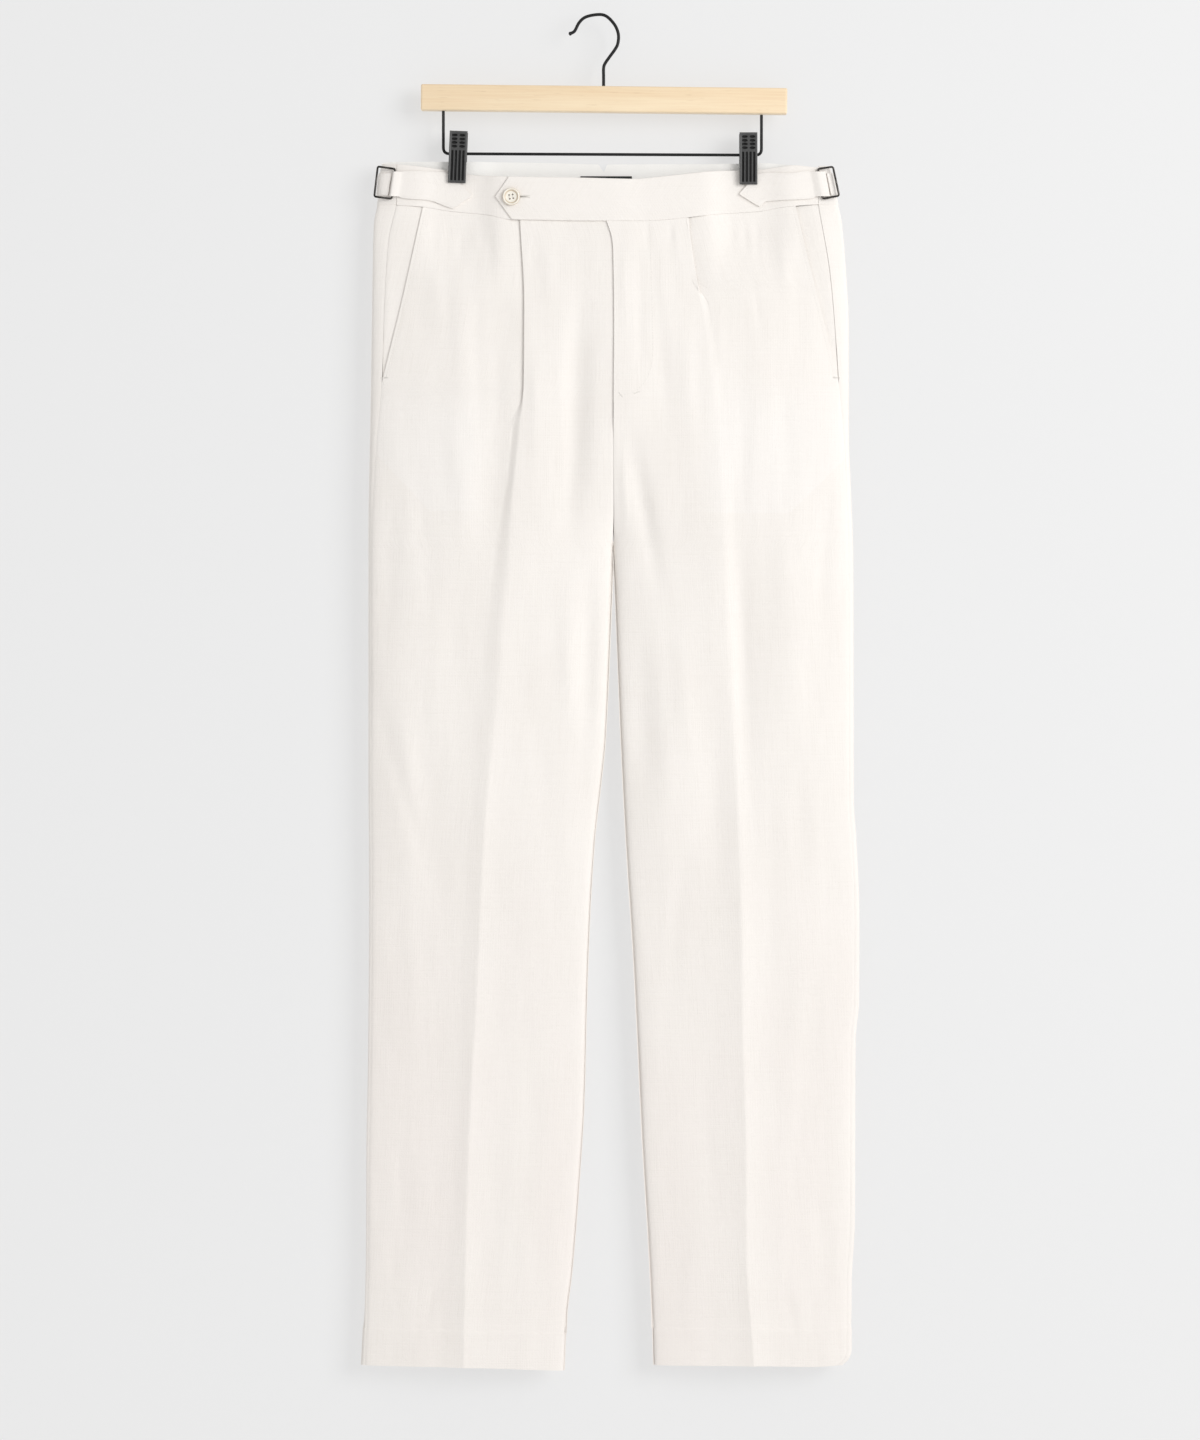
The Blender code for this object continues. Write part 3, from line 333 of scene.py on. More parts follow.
def horn_finish():
    made, shader, place = new_finish("horn", 0.3, Coat_Weight=0.3)
    clouds = place.scaled(1.0, 1.0, 2.0).noise(170.0, detail=3.0, distortion=1.2)
    radius = place.scaled(1.0, 1.0, 0.0).vector("LENGTH", output="Value")
    step = radius.between(0.0051, 0.0058) * (0.0070 - radius).between(0.0, 0.0007)
    darkening = radius.between(0.0078, 0.0086) * 0.8 + step * 0.55 + clouds.between(0.4, 0.8) * 0.12
    give(shader, "Base Color", darkening.mix((0.90, 0.86, 0.77, 1.0), (0.50, 0.34, 0.17, 1.0)))
    give(shader, "Roughness", 0.24 + clouds * 0.12)
    return made


THREAD = thread_finish()
SLIT_SHADOW = plain_weave("slit_shadow", (0.16, 0.12, 0.09, 1.0), (0.07, 0.05, 0.04, 1.0),
                          0.0006, 0.9)
# painted light: a paler weave for the band's inside, lifting the shade there
BAND_INSIDE_LIGHTENED = plain_weave("band_facing", (0.965, 0.95, 0.92, 1.0), (0.92, 0.905, 0.875, 1.0),
                          0.0005, 0.85)
POCKETING = plain_weave("pocketing", (0.9, 0.9, 0.89, 1.0), (0.8, 0.8, 0.79, 1.0), 0.0005, 0.85)
BLACK_TAPE = plain_weave("black_tape", grey(0.02), grey(0.008), 0.0008, 0.8)
MAPLE = maple_finish()
BLACK_STEEL = black_steel_finish()
BLACK_PLASTIC = black_plastic_finish()
NICKEL = nickel_finish()
HORN = horn_finish()
print("finishes:", [made.name for made in bpy.data.materials])

# %% [markdown]
# ## The form of the garment
#
# Trousers hung flat are two shallow tubes, so the form is kept as curves: the outline, the seams,
# the pressed crease, the pleat and the depth are each a smooth line through a few measured rows.
# Every piece of cloth is cut from that one surface, and pieces that meet can't drift apart. The
# solids of the frame were made from the same rows.

# %% Smooth lines through measured rows
def smoothstep(low, high, value):
    share = np.clip((value - low) / (high - low), 0.0, 1.0)
    return share * share * (3.0 - 2.0 * share)


class Line:
    """A smooth curve through rows of (place, value), with no overshoot between them."""

    def __init__(self, *rows):
        self.places, self.values = (np.array(column, float) for column in zip(*rows))
        rises = np.diff(self.values) / np.diff(self.places)
        product = rises[:-1] * rises[1:]
        total = rises[:-1] + rises[1:]
        middle = np.where(product > 0, 2 * product / np.where(total == 0, 1, total), 0)
        self.slopes = np.concatenate(([rises[0]], middle, [rises[-1]]))

    def __call__(self, place):
        place = np.clip(place, self.places[0], self.places[-1])
        row = np.clip(np.searchsorted(self.places, place, side="right") - 1, 0, len(self.places) - 2)
        width = self.places[row + 1] - self.places[row]
        u = (place - self.places[row]) / width
        smooth = u * u * (3.0 - 2.0 * u)
        ends = (1.0 - smooth) * self.values[row] + smooth * self.values[row + 1]
        slopes = (u**3 - 2 * u**2 + u) * self.slopes[row] + (u**3 - u**2) * self.slopes[row + 1]
        return ends + slopes * width


# %% Sizes of the cloth and the garment's curves
GAP = 0.3                 # between the solids of neighbouring pieces
SEWN_GAP = 0.06           # between two pieces of cloth along a seam
LINEN = 0.75              # the cloth itself
WAISTBAND = 1.6           # two layers and an interlining
STRAP = 2.0
LOOP_CLOTH = 1.0
ANCHOR = 1.6
RECESS = 0.4              # the legs lie this far under the waistband's outside
HEM_DEPTH = 37.0
STRAIGHT_RISE = 372.0     # down to here the centre seams lie flat
CROTCH = 517.3
MOUTH_END = 357.0         # lower end of the pocket mouths
FLY_END = 372.0
SIDE_ROUNDNESS = 0.56     # exponent of the sections: 1 is an ellipse, less is flatter

# Half the garment's thickness, the front and the back of the middle plane: (drop, depth)
FRONT_DEPTH = Line((190, 9.5), (240, 13), (320, 17), (420, 19), (517, 17), (600, 14.5), (750, 12),
                   (900, 10.5), (1100, 9.5), (1317, 9))
BACK_DEPTH = Line((190, 5.5), (240, 11), (320, 16), (420, 19), (517, 17), (600, 14.5), (750, 12),
                  (900, 10.5), (1100, 9.5), (1317, 9))
# How far the pressed creases stand up: (drop, rise)
CREASE_RISE = Line((200, 0), (400, 0.6), (560, 2.2), (750, 4), (1317, 4.6))
CREASE_REACH = 20.0
# How rounded they are: (drop, mm)
CREASE_EDGE = Line((200, 9), (560, 6), (760, 1.6), (1317, 1.0))
VALLEY_WIDTH = 45.0       # beside the pleat

# Centre seams: (drop, x)
FLY = Line((200, 9.7), (218, 15.1), (229, 16.1), (296, 17.0), (373, 16.6), (436, 16.4),
           (484, 16.8), (517.3, 16.1))
SEAT = Line((141, 7.3), (200, 8.5), (350, 13), (517.3, 16.1))

# Waistband edges: (x, drop)
FRONT_TOP = Line((-195.5, 144.2), (-147.8, 149.8), (-126, 154.1), (-85.6, 157), (-15, 158.3),
                 (34.5, 159.3), (69.6, 156.2), (121.6, 150.9), (158, 149.5), (181.5, 146.6),
                 (191.2, 145.6), (213, 147.6))
FRONT_SEAM = Line((-213.6, 183.6), (-194, 184.6), (-168.8, 186.3), (-143.5, 190), (-108.5, 193.7),
                  (-82.2, 198.9), (6.3, 200.3), (42.3, 200.3), (129.9, 192.3), (156.2, 190.6),
                  (182.4, 186.5), (215.5, 183.9), (237, 183.6))
BACK_TOP = Line((-209, 143.2), (-203, 141.8), (-190, 141.3), (-144.5, 141.3), (1.5, 143.7),
                (7.3, 150.9), (10.8, 143.7), (140, 143.2), (158, 142.7), (190, 144.5),
                (211, 147.2), (229, 148.2))
BACK_SEAM = 184.0

# The clips press the waistband together: (x) of each, and how far sideways and down it reaches
CLIP_X = (-134.7, 147.6)
CLIPPED_DEPTH = 2.9
CLIP_REACH = 32.0
CLIP_FADE = (190.0, 270.0)

@dataclass
class Half:
    name: str
    sign: int             # side of x = 0 that it hangs on
    outer: Line           # outline: (drop, out)
    leg_inner: Line       # inner outline below the crotch: (drop, out)
    seam: Line            # side seam, on the front: (drop, out)
    mouth: Line           # edge of the slanted pocket mouth: (drop, out)
    crease: Line          # front crease, which is also the pleat's edge: (drop, out)
    tuck: Line            # cloth tucked under the pleat; negative where it is open: (drop, width)
    valley: Line          # how deep the cloth lies beside the pleat: (drop, depth)
    hem: Line             # (out, drop)


RIGHT = Half(
    "right", -1,
    outer=Line((141, 207), (147, 209.5), (184, 213.6), (202, 217), (257, 218.4), (366, 219.9),
               (510, 222.3), (733, 222.3), (856, 221.6), (1019, 222.8), (1103, 224.3),
               (1193, 224.6), (1265, 226.2), (1317, 228.7)),
    leg_inner=Line((517.3, -16.1), (626, -11.8), (708, -7.7), (749, -3.4), (801, 2.4), (879, 7.3),
                   (957, 10.2), (1054, 12.6), (1127, 17), (1220, 24.4), (1265, 29.6),
                   (1317, 31.8)),
    seam=Line((184, 194.4), (220, 202.3), (282, 206.1), (357, 208.7), (424, 214.5), (525, 219.4),
              (733, 219.3), (856, 218.6), (1019, 219.8), (1103, 221.3), (1265, 223.2),
              (1317, 225.7)),
    mouth=Line((184, 168.2), (279, 189.2), (357, 208.5)),
    crease=Line((200, 73.9), (282, 69.8), (357, 70.2), (407, 74.4), (458, 79.6), (529, 85.1),
                (611, 91.5), (712, 101.7), (813, 109.9), (914, 114.3), (985, 118.2), (1087, 123.5),
                (1205, 127), (1311, 128.9)),
    tuck=Line((200, 17), (260, 14), (330, 8.5), (385, 2), (430, -5), (520, -14), (640, -18),
              (1317, -18)),
    valley=Line((200, 2.9), (370, 2.8), (430, 2.5), (520, 2.1), (640, 1.3), (760, 0.5),
                (1317, 0.3)),
    hem=Line((31.6, 1317.2), (128.9, 1313.3), (228.7, 1311.8)),
)
LEFT = Half(
    "left", 1,
    outer=Line((141, 224), (148, 227.5), (184, 235.5), (200, 239), (257, 243.7), (296, 245.7),
               (412, 246), (451, 247.6), (529, 250.3), (762, 250.8), (801, 253.3), (879, 256.2),
               (957, 256), (996, 252.6), (1175, 251.8), (1230, 248.8), (1297, 248.4), (1306, 246),
               (1311.8, 240)),
    leg_inner=Line((517.3, 16.1), (558, 18.6), (626, 21.3), (712, 24.8), (813, 30), (914, 36.5),
                   (985, 40.1), (1093, 45.2), (1191, 51.1), (1265, 54.7), (1312, 56)),
    seam=Line((184, 215.9), (255, 227.7), (339, 234.4), (357, 235.6), (412, 240.8), (451, 242.6),
              (529, 245.4), (762, 246), (801, 248.4), (879, 251.2), (957, 251), (996, 247.6),
              (1175, 246.8), (1230, 243.8), (1297, 243.4), (1306, 241), (1311.8, 235)),
    mouth=Line((184, 193.2), (238, 205.8), (300, 221.5), (357, 235.4)),
    crease=Line((200, 88.6), (218, 91), (323, 106.5), (424, 116.3), (525, 122.1), (607, 128.4),
                (712, 134.8), (792, 137.7), (914, 141.3), (985, 141.8), (1087, 145), (1205, 145.7),
                (1311, 152.8)),
    tuck=Line((200, 11), (240, 8), (285, 0), (330, -11), (424, -16), (525, -16), (640, -16),
              (1312, -16)),
    valley=Line((200, 2.9), (245, 2.8), (285, 1.3), (310, 0.7), (345, 0.7), (400, 1.0), (525, 1.3),
                (640, 1.0), (760, 0.5), (1312, 0.3)),
    hem=Line((56.5, 1311.8), (152.8, 1311.8), (210.4, 1313), (240, 1311.8)),
)
HALVES = (RIGHT, LEFT)

print("half outlines:", [half.name for half in HALVES])

# %% [markdown]
# ## Creases placed one by one
#
# Linen creases easily, and the photograph shows where. Simulated cloth would crease somewhere else,
# so each crease is a row in a table instead: a soft trough or ridge between two places, fading at
# its ends. The back, which the photograph doesn't show, has similar ones of its own.

# %% The table of creases
# For each half and face: top drop, bottom drop, out at the top, out at the bottom, rise, half width
CREASES = {
    ("right", "front"): (
        (205, 570, 14, 28, -4.8, 13), (500, 740, 9, 9, -2.5, 9), (560, 900, 190, 150, -2, 16),
        (500, 940, 190, 176, 3.2, 24), (190, 560, 92, 104, -2.2, 15), (200, 420, 136, 132, 0.9, 8),
        (230, 470, 118, 112, -0.7, 6), (250, 520, 62, 58, 0.8, 7), (300, 540, 42, 40, -0.7, 6),
        (400, 620, 176, 158, -0.9, 9), (198, 250, 131, 133, -0.7, 4), (200, 262, 104, 103, -0.7, 4.5),
        (196, 240, 150, 152, 0.5, 3.5), (196, 236, 118, 117, 0.5, 4), (203, 300, 48, 44, 0.7, 7),
        (204, 262, 61, 60, -0.6, 4.5), (210, 350, 160, 150, 0.7, 9), (330, 560, 142, 122, 0.8, 10),
        (430, 660, 198, 206, -0.9, 9), (560, 700, 30, 26, 0.9, 6), (640, 800, 218, 176, -0.9, 9),
        (700, 870, 205, 152, -0.8, 8), (620, 860, 60, 46, -0.7, 9), (850, 1060, 170, 186, 0.7, 10),
        (930, 1160, 70, 60, -0.6, 8), (1040, 1240, 196, 180, -0.7, 9), (1120, 1290, 84, 96, 0.6, 7),
        (1215, 1285, 150, 172, -0.5, 5), (1228, 1262, 60, 84, -0.4, 4),
    ),
    ("left", "front"): (
        (390, 590, 31, 66, -2.6, 7.5), (540, 800, 38, 52, -2.5, 13), (600, 900, 112, 118, -2, 13),
        (420, 780, 188, 180, 1.6, 17), (440, 860, 139, 143, -2.4, 12), (560, 900, 62, 68, 2.2, 20),
        (440, 900, 128, 140, -2.6, 34), (400, 520, 24, 30, 1.2, 4.5), (196, 340, 27, 27, 0.6, 4),
        (200, 370, 41, 43, -0.7, 4.5), (230, 430, 60, 66, -0.9, 7), (260, 470, 84, 96, 0.8, 8),
        (330, 520, 148, 136, -0.8, 8), (196, 236, 50, 49, -0.7, 3.5), (196, 228, 72, 72, -0.6, 3),
        (196, 246, 77.5, 79, 0.5, 4), (192, 232, 131, 132, -0.6, 3.2), (192, 240, 143, 146, -0.7, 3.2),
        (190, 236, 155, 157, -0.5, 3), (250, 318, 151.8, 160, -0.5, 2.6), (192, 300, 176, 190, 0.6, 6),
        (205, 330, 62, 66, 0.7, 7), (210, 380, 104, 128, 0.6, 9), (300, 520, 176, 190, -0.8, 11),
        (420, 640, 226, 214, -0.9, 7), (560, 790, 78, 96, 0.9, 9), (640, 930, 190, 206, -0.7, 10),
        (780, 1010, 84, 70, -0.6, 8), (900, 1130, 200, 184, 0.6, 9), (1010, 1200, 104, 116, -0.6, 7),
        (1090, 1270, 212, 222, -0.6, 8), (1180, 1300, 92, 84, 0.5, 6), (1225, 1300, 182, 196, -0.5, 5),
    ),
    ("right", "back"): (
        (420, 700, 60, 110, -3.5, 18), (240, 480, 120, 100, -2.5, 22), (190, 262, 40, 46, -0.9, 7),
        (188, 244, 76, 78, 0.7, 6), (190, 280, 160, 150, -0.8, 8), (330, 520, 30, 74, -1.2, 9),
        (400, 560, 26, 96, 0.9, 9), (560, 800, 180, 160, -0.8, 10), (640, 780, 60, 100, -0.9, 8),
        (700, 850, 52, 104, 0.7, 8), (820, 1060, 176, 190, -0.7, 9), (960, 1180, 66, 74, -0.7, 8),
        (1100, 1280, 190, 178, 0.6, 8),
    ),
    ("left", "back"): (
        (430, 720, 70, 120, -3.5, 18), (240, 470, 150, 120, -2.5, 22), (190, 252, 44, 42, -0.8, 6),
        (188, 256, 100, 104, 0.8, 7), (190, 290, 182, 176, -0.8, 8), (340, 530, 34, 80, -1.2, 9),
        (410, 580, 40, 118, 0.9, 9), (600, 840, 200, 186, -0.8, 10), (640, 800, 70, 112, -0.9, 8),
        (860, 1080, 92, 84, 0.7, 9), (930, 1150, 200, 210, -0.7, 9), (1120, 1290, 100, 110, -0.6, 7),
    ),
}
print("creases placed by hand:", sum(len(rows) for rows in CREASES.values()))

# %% [markdown]
# ## The surface itself
#
# `face_depth` is the heart of the script: how far a face lies from the middle plane at any place.
# The section of each tube is a flattened round, pressed flat where the clips grip the band. The
# pressed crease stands up as a soft ridge, the table's creases are added, and a smooth unevenness
# keeps the cloth from looking like sheet metal.

# %% Depth at a place
# Unevenness: cell across, cell along, height, seed
UNEVEN = ((34.0, 150.0, 0.55, 11), (14.0, 60.0, 0.30, 12), (6.0, 26.0, 0.10, 13))
UNEVEN_FROM = (184.0, 214.0)       # it begins below the waistband
NOISE_SIZE = 64
NOISE_START, NOISE_BACK = 20.0, 31.0


def soft_noise(u, v, seed):
    """Smooth noise between -1 and 1: random heights on a grid, with smooth steps between them."""
    heights = np.random.default_rng(seed).uniform(-1.0, 1.0, (NOISE_SIZE, NOISE_SIZE))
    u0, v0 = np.floor(u).astype(int), np.floor(v).astype(int)
    a, b = smoothstep(0.0, 1.0, u - u0), smoothstep(0.0, 1.0, v - v0)

    def at(du, dv):
        return heights[(u0 + du) % NOISE_SIZE, (v0 + dv) % NOISE_SIZE]

    return (at(0, 0) * (1 - a) + at(1, 0) * a) * (1 - b) + (at(0, 1) * (1 - a) + at(1, 1) * a) * b


def inner_edge(half, face, drop):
    """Where a face ends towards the middle: at the centre seam, or lower down at the inseam."""
    centre = half.sign * (FLY if face == "front" else SEAT)(drop)
    return np.where(drop >= CROTCH, half.leg_inner(drop), centre)


def section(half, face, drop):
    """A section's outer and inner edge, and its turn: a quarter high up, a half in a leg."""
    level = np.clip((drop - STRAIGHT_RISE) / (CROTCH - STRAIGHT_RISE), 0.0, 1.0)
    return half.outer(drop), inner_edge(half, face, drop), math.pi / 2 * (1.0 + level**1.5)


def share_of_turn(half, face, out, drop):
    """How far round the section a place lies: 0 at the outer edge, 1 at the inner edge."""
    outer, inner, turn = section(half, face, drop)
    cosine = 1.0 - (outer - out) / (outer - inner) * (1.0 - np.cos(turn))
    return np.arccos(np.clip(cosine, -1.0, 1.0)) / turn


def out_at(half, face, share, drop):
    """The opposite of share_of_turn."""
    outer, inner, turn = section(half, face, drop)
    return outer - (outer - inner) * (1.0 - np.cos(turn * share)) / (1.0 - np.cos(turn))


def crease_rise(half, face, out, drop):
    rise = 0.0 * (out + drop)
    for top, bottom, out_top, out_bottom, height, width in CREASES[half.name, face]:
        along = np.clip((drop - top) / (bottom - top), 0.0, 1.0)
        away = (out - out_top - along * (out_bottom - out_top)) / width
        rise += height * np.sin(math.pi * along) ** 2 * np.exp(-away ** 2)
    return rise


def unevenness(half, face, out, drop):
    start = NOISE_START + NOISE_BACK * (face == "back")
    return sum(height * soft_noise(half.sign * out / across + start, drop / along, seed)
               for across, along, height, seed in UNEVEN)


def face_depth(half, face, out, drop):
    """Distance of a face's outside from the middle plane, without the pleat's own step."""
    turn = section(half, face, drop)[2]
    turned = np.sin(share_of_turn(half, face, out, drop) * turn) ** SIDE_ROUNDNESS
    depth = (FRONT_DEPTH if face == "front" else BACK_DEPTH)(drop) * turned
    grip = np.maximum(*(np.exp(-((half.sign * out - clip) / CLIP_REACH) ** 4) for clip in CLIP_X))
    grip = grip * (1.0 - smoothstep(*CLIP_FADE, drop))
    depth = depth * (1.0 - grip) + np.minimum(depth, CLIPPED_DEPTH) * grip
    away = np.hypot(out - half.crease(drop), CREASE_EDGE(drop)) - CREASE_EDGE(drop)
    rise = CREASE_RISE(drop) * np.exp(-away / CREASE_REACH) + crease_rise(half, face, out, drop)
    rise = rise + smoothstep(*UNEVEN_FROM, drop) * unevenness(half, face, out, drop)
    return depth + np.minimum(1.0, 1.5 * turned) * rise


def valley_dip(half, out, drop):
    """How deep the cloth lies at a place beside the pleat."""
    root = half.crease(drop) - half.tuck(drop)
    return half.valley(drop) * (1.0 - smoothstep(root, root + VALLEY_WIDTH, out))


def face_y(half, face, out, drop, dip=0.0):
    """The outside's y. Past the centre seam the surface is the other half's."""
    other = LEFT if half is RIGHT else RIGHT
    beyond = (drop < CROTCH) & (out < inner_edge(half, face, drop))
    depth = np.where(beyond, face_depth(other, face, -out, drop), face_depth(half, face, out, drop))
    return dip - depth if face == "front" else depth - dip


print(f"deepest front {float(FRONT_DEPTH(420.0)):.0f} mm from the middle plane")

# %% [markdown]
# ## From rows of stations to a piece of cloth
#
# Each piece is lofted: a row runs round the leg at one level, and its stations are the places where
# the cloth is known. The rows follow the waist seam at the top and the hem at the bottom. The mesh
# is the outside only, and Solidify gives it the cloth's thickness inwards, which is easier to
# change than two surfaces and a rim. The UV map is the cloth measured flat, in metres.

# %% Meshes from grids of points
FINE_EDGE, SOFT_EDGE, BAND_EDGE = 0.2, 0.5, 0.8


def add_object(name, data, finish):
    """Puts an object into the scene."""
    data.materials.append(finish)
    made = bpy.data.objects.new(name, data)
    bpy.context.scene.collection.objects.link(made)
    return made


def in_metres(half, out, y, drop):
    return np.stack(np.broadcast_arrays(half.sign * out, y, -drop), axis=-1) * MM


def running_length(points):
    """How far along a path each of its points lies."""
    steps = np.linalg.norm(np.diff(points, axis=0), axis=1)
    return np.concatenate(([0.0], np.cumsum(steps)))


def quads(index):
    """The corners of each cell of a grid of point numbers."""
    corners = (index[:-1, :-1], index[:-1, 1:], index[1:, 1:], index[1:, :-1])
    return np.stack(corners, axis=-1).reshape(-1, 4)


def cloth_mesh(name, points, uvs, corners, flip):
    """A smooth mesh with the cloth's own metres as its UV map."""
    if flip:
        corners = corners[:, ::-1]
    data = bpy.data.meshes.new(name)
    data.from_pydata(points.reshape(-1, 3), [], corners.tolist())
    flat = data.uv_layers.new(name="cloth")
    flat.data.foreach_set("uv", uvs.reshape(-1, 2)[corners.ravel()].ravel())
    data.shade_smooth()
    return data


def cloth_piece(name, finish, half, rows, thickness, soft_edge=FINE_EDGE):
    """A piece of cloth from rows of (points, uvs), with its thickness on the inside."""
    points, uvs = (np.array(part) for part in zip(*rows))
    index = np.arange(points[..., 0].size).reshape(points.shape[:2])
    piece = add_object(name, cloth_mesh(name, points, uvs, quads(index), half.sign > 0), finish)
    solid = piece.modifiers.new("thickness", "SOLIDIFY")
    solid.thickness, solid.offset = thickness * MM, -1.0
    rounding = piece.modifiers.new("soft edge", "BEVEL")
    rounding.width, rounding.segments = soft_edge * MM, 2 if soft_edge < SOFT_EDGE else 3
    rounding.limit_method, rounding.angle_limit = "ANGLE", math.radians(75)
    rounding.harden_normals = True
    return piece


def closed_loft(name, finish, outer, inner, flip):
    """A solid between two grids of points, with rims."""
    top, under = np.arange(2 * outer[..., 0].size).reshape(2, *outer.shape[:2])
    rims = [np.stack((a[:-1], a[1:], b[1:], b[:-1]), -1)[:, ::turn]
            for a, b, turn in ((top[:, 0], under[:, 0], 1), (top[:, -1], under[:, -1], -1),
                               (top[0], under[0], -1), (top[-1], under[-1], 1))]
    corners = np.concatenate([quads(top), quads(under)[:, ::-1], *rims])
    lengths = np.linalg.norm(np.diff(outer, axis=1), axis=2).mean(axis=0)
    u, v = np.concatenate(([0.0], np.cumsum(lengths))), outer[:, :, 2].mean(axis=1)
    uvs = np.stack(np.meshgrid(u, v), axis=-1)
    data = cloth_mesh(name, np.stack((outer, inner)), np.stack((uvs, uvs)), corners, flip)
    data.set_sharp_from_angle(angle=math.radians(50))
    return add_object(name, data, finish)


# %% Rows of stations
WAIST_ROW_END = 214.0
WAIST_ROW_SHARES = (0.0, 0.02, 0.06, 0.14, 0.28, 0.45, 0.63, 0.82)
ROW_STEP = 4.0
LAST_LEVEL = 1266.0
HEM_ROW_SHARES = (0.0, 0.02, 0.04, 0.07, 0.12, *np.linspace(0.2, 0.9, 8), 0.97, 0.99, 1.0)
FIRST_GUESS = 300.0


def outward(points):
    """The outward direction at each point (out, y) of a row that runs from the front's middle."""
    along = np.gradient(points, axis=0)
    normal = np.stack((along[:, 1], -along[:, 0]), axis=1)
    return normal / np.linalg.norm(normal, axis=1, keepdims=True)


def row_in_space(half, out, y, drop, outset=0.0):
    """Moves a row's stations outwards and gives them in metres and as the cloth's u, v."""
    points = np.stack(np.broadcast_arrays(out, y), axis=1)
    length = running_length(points)
    points = points + outward(points) * np.broadcast_to(outset, len(points))[:, None]
    drop = np.broadcast_to(drop, len(points))
    return in_metres(half, *points.T, drop), np.stack((length, -drop), axis=1) * MM


def spaced_from_edges(count, edges):
    """Shares from 0 to 1, evenly spaced, with a few more close to both ends."""
    ends = np.array(edges)
    return np.unique(np.concatenate((np.linspace(0.0, 1.0, count), ends, 1.0 - ends)))


def row_functions(half, seam):
    """For each row, a function that gives its drop at places out on the half."""
    def waist(share):
        return lambda out: (seam(out) + SEWN_GAP) * (1 - share) + WAIST_ROW_END * share

    def level(drop):
        return lambda out: drop + 0.0 * out

    def hem(share):
        return lambda out: half.hem(out) - HEM_DEPTH * (1 - share)

    return ([waist(share) for share in WAIST_ROW_SHARES]
            + [level(drop) for drop in np.arange(WAIST_ROW_END, LAST_LEVEL, ROW_STEP)]
            + [hem(share) for share in HEM_ROW_SHARES])


def settle(line, drop_at):
    """Where a row, whose drop changes across the cloth, meets a line of the cut."""
    out = float(line(FIRST_GUESS))
    for _ in range(6):
        out = float(line(drop_at(out)))
    return out


# %% [markdown]
# ## Front legs
#
# A front runs from the fly or the inseam over the pressed crease to the pocket mouth and the side
# seam. At the waist the crease is the edge of a pleat: the cloth turns under, runs back and turns
# again, like a flattened S. Lower down it opens into a valley beside the crease. Both are lines of
# a few points, and the row blends from one into the other, so the pleat opens by itself.

# %% The pleat
PLEAT_STEPS = 18
PLEAT_AIR = 0.35                   # between the layers
TURN_END, RUN_END = 0.35, 0.8      # shares of the way through the pleat
LEAST_SPREAD = 8.0
OPENS_OVER = 6.0


def pleat(tuck, valley):
    """The cloth from the pleat's edge to its root, as (across, depth) from the edge."""
    share = np.linspace(0.0, 1.0, PLEAT_STEPS)
    lower = valley - LINEN - PLEAT_AIR
    angle = np.clip(share / TURN_END, 0.0, 1.0) * math.pi
    back = np.clip((share - TURN_END) / (RUN_END - TURN_END), 0.0, 1.0)
    rest = smoothstep(RUN_END, 1.0, share)
    closed_across = lower / 2 * np.sin(angle) - max(tuck, 1.0) * back
    closed_depth = lower / 2 * (1.0 - np.cos(angle)) + (valley - lower) * rest
    open_across, open_depth = max(-tuck, LEAST_SPREAD) * share, valley * smoothstep(0.0, 1.0, share)
    weight = smoothstep(0.0, OPENS_OVER, tuck)
    return (closed_across * weight + open_across * (1.0 - weight),
            closed_depth * weight + open_depth * (1.0 - weight))


# %% A front's row
UNDERLAP = 10.0           # of the right front under the left one
UNDERLAP_ENDS = (FLY_END - 18, FLY_END + 4)
FLY_LAP = LINEN + 0.9     # how far the left front stands out there
FLY_LAP_ENDS = (FLY_END + 14, FLY_END + 50)
FLY_LAP_FADES = (13, 42)  # towards the side
FACING_LAP = 15.0
INNER_SHARES = spaced_from_edges(36, (0.004, 0.012, 0.02))
SIDE_SHARES = spaced_from_edges(52, (0.004, 0.01))
FACING_SHARES = spaced_from_edges(16, (0.03,))
TOPSTITCH_IN = 3.4        # from the pocket mouth's edge


def groove(distance, depth=0.28, width=1.1):
    """How far cloth is drawn in at a distance from a seam or a row of stitches."""
    return -depth * np.exp(-(distance / width) ** 2)


def fly_lap(half, out, drop):
    """How far the left front stands out where it laps over the right one."""
    along = 1.0 - smoothstep(*FLY_LAP_ENDS, drop)
    return FLY_LAP * along * (1.0 - smoothstep(*FLY_LAP_FADES, out - FLY(drop))) * (half is LEFT)


def front_row(half, drop_at):
    """One row of the front: where its stations lie (out, y, drop), and its mouth and seam."""
    inner = settle(lambda drop: inner_edge(half, "front", drop), drop_at)
    edge, seam, mouth = (settle(line, drop_at) for line in (half.crease, half.seam, half.mouth))
    level, inner_drop = float(drop_at(edge)), float(drop_at(inner))
    if level > MOUTH_END:
        mouth = seam - SEWN_GAP
    start = float(share_of_turn(half, "front", edge, level))
    top = out_at(half, "front", 1.0 + INNER_SHARES * (start - 1.0), inner_drop)
    top[0] += SEWN_GAP
    if half is RIGHT:
        top[0] -= UNDERLAP * (1.0 - smoothstep(*UNDERLAP_ENDS, inner_drop))
    tuck, valley = float(half.tuck(level)), float(half.valley(level))
    across, depth = pleat(tuck, valley)
    fold = edge + across
    base = face_y(half, "front", np.full_like(fold, edge) if tuck > 0 else fold, drop_at(fold))
    side = fold[-1] + SIDE_SHARES * (mouth - fold[-1])
    side_y = face_y(half, "front", side, drop_at(side), valley_dip(half, side, level))
    out = np.concatenate((top[:-1], fold, side[1:]))
    top_y = face_y(half, "front", top, drop_at(top))
    y = np.concatenate((top_y[:-1], base + depth, side_y[1:]))
    return out, y, drop_at(out), mouth, seam


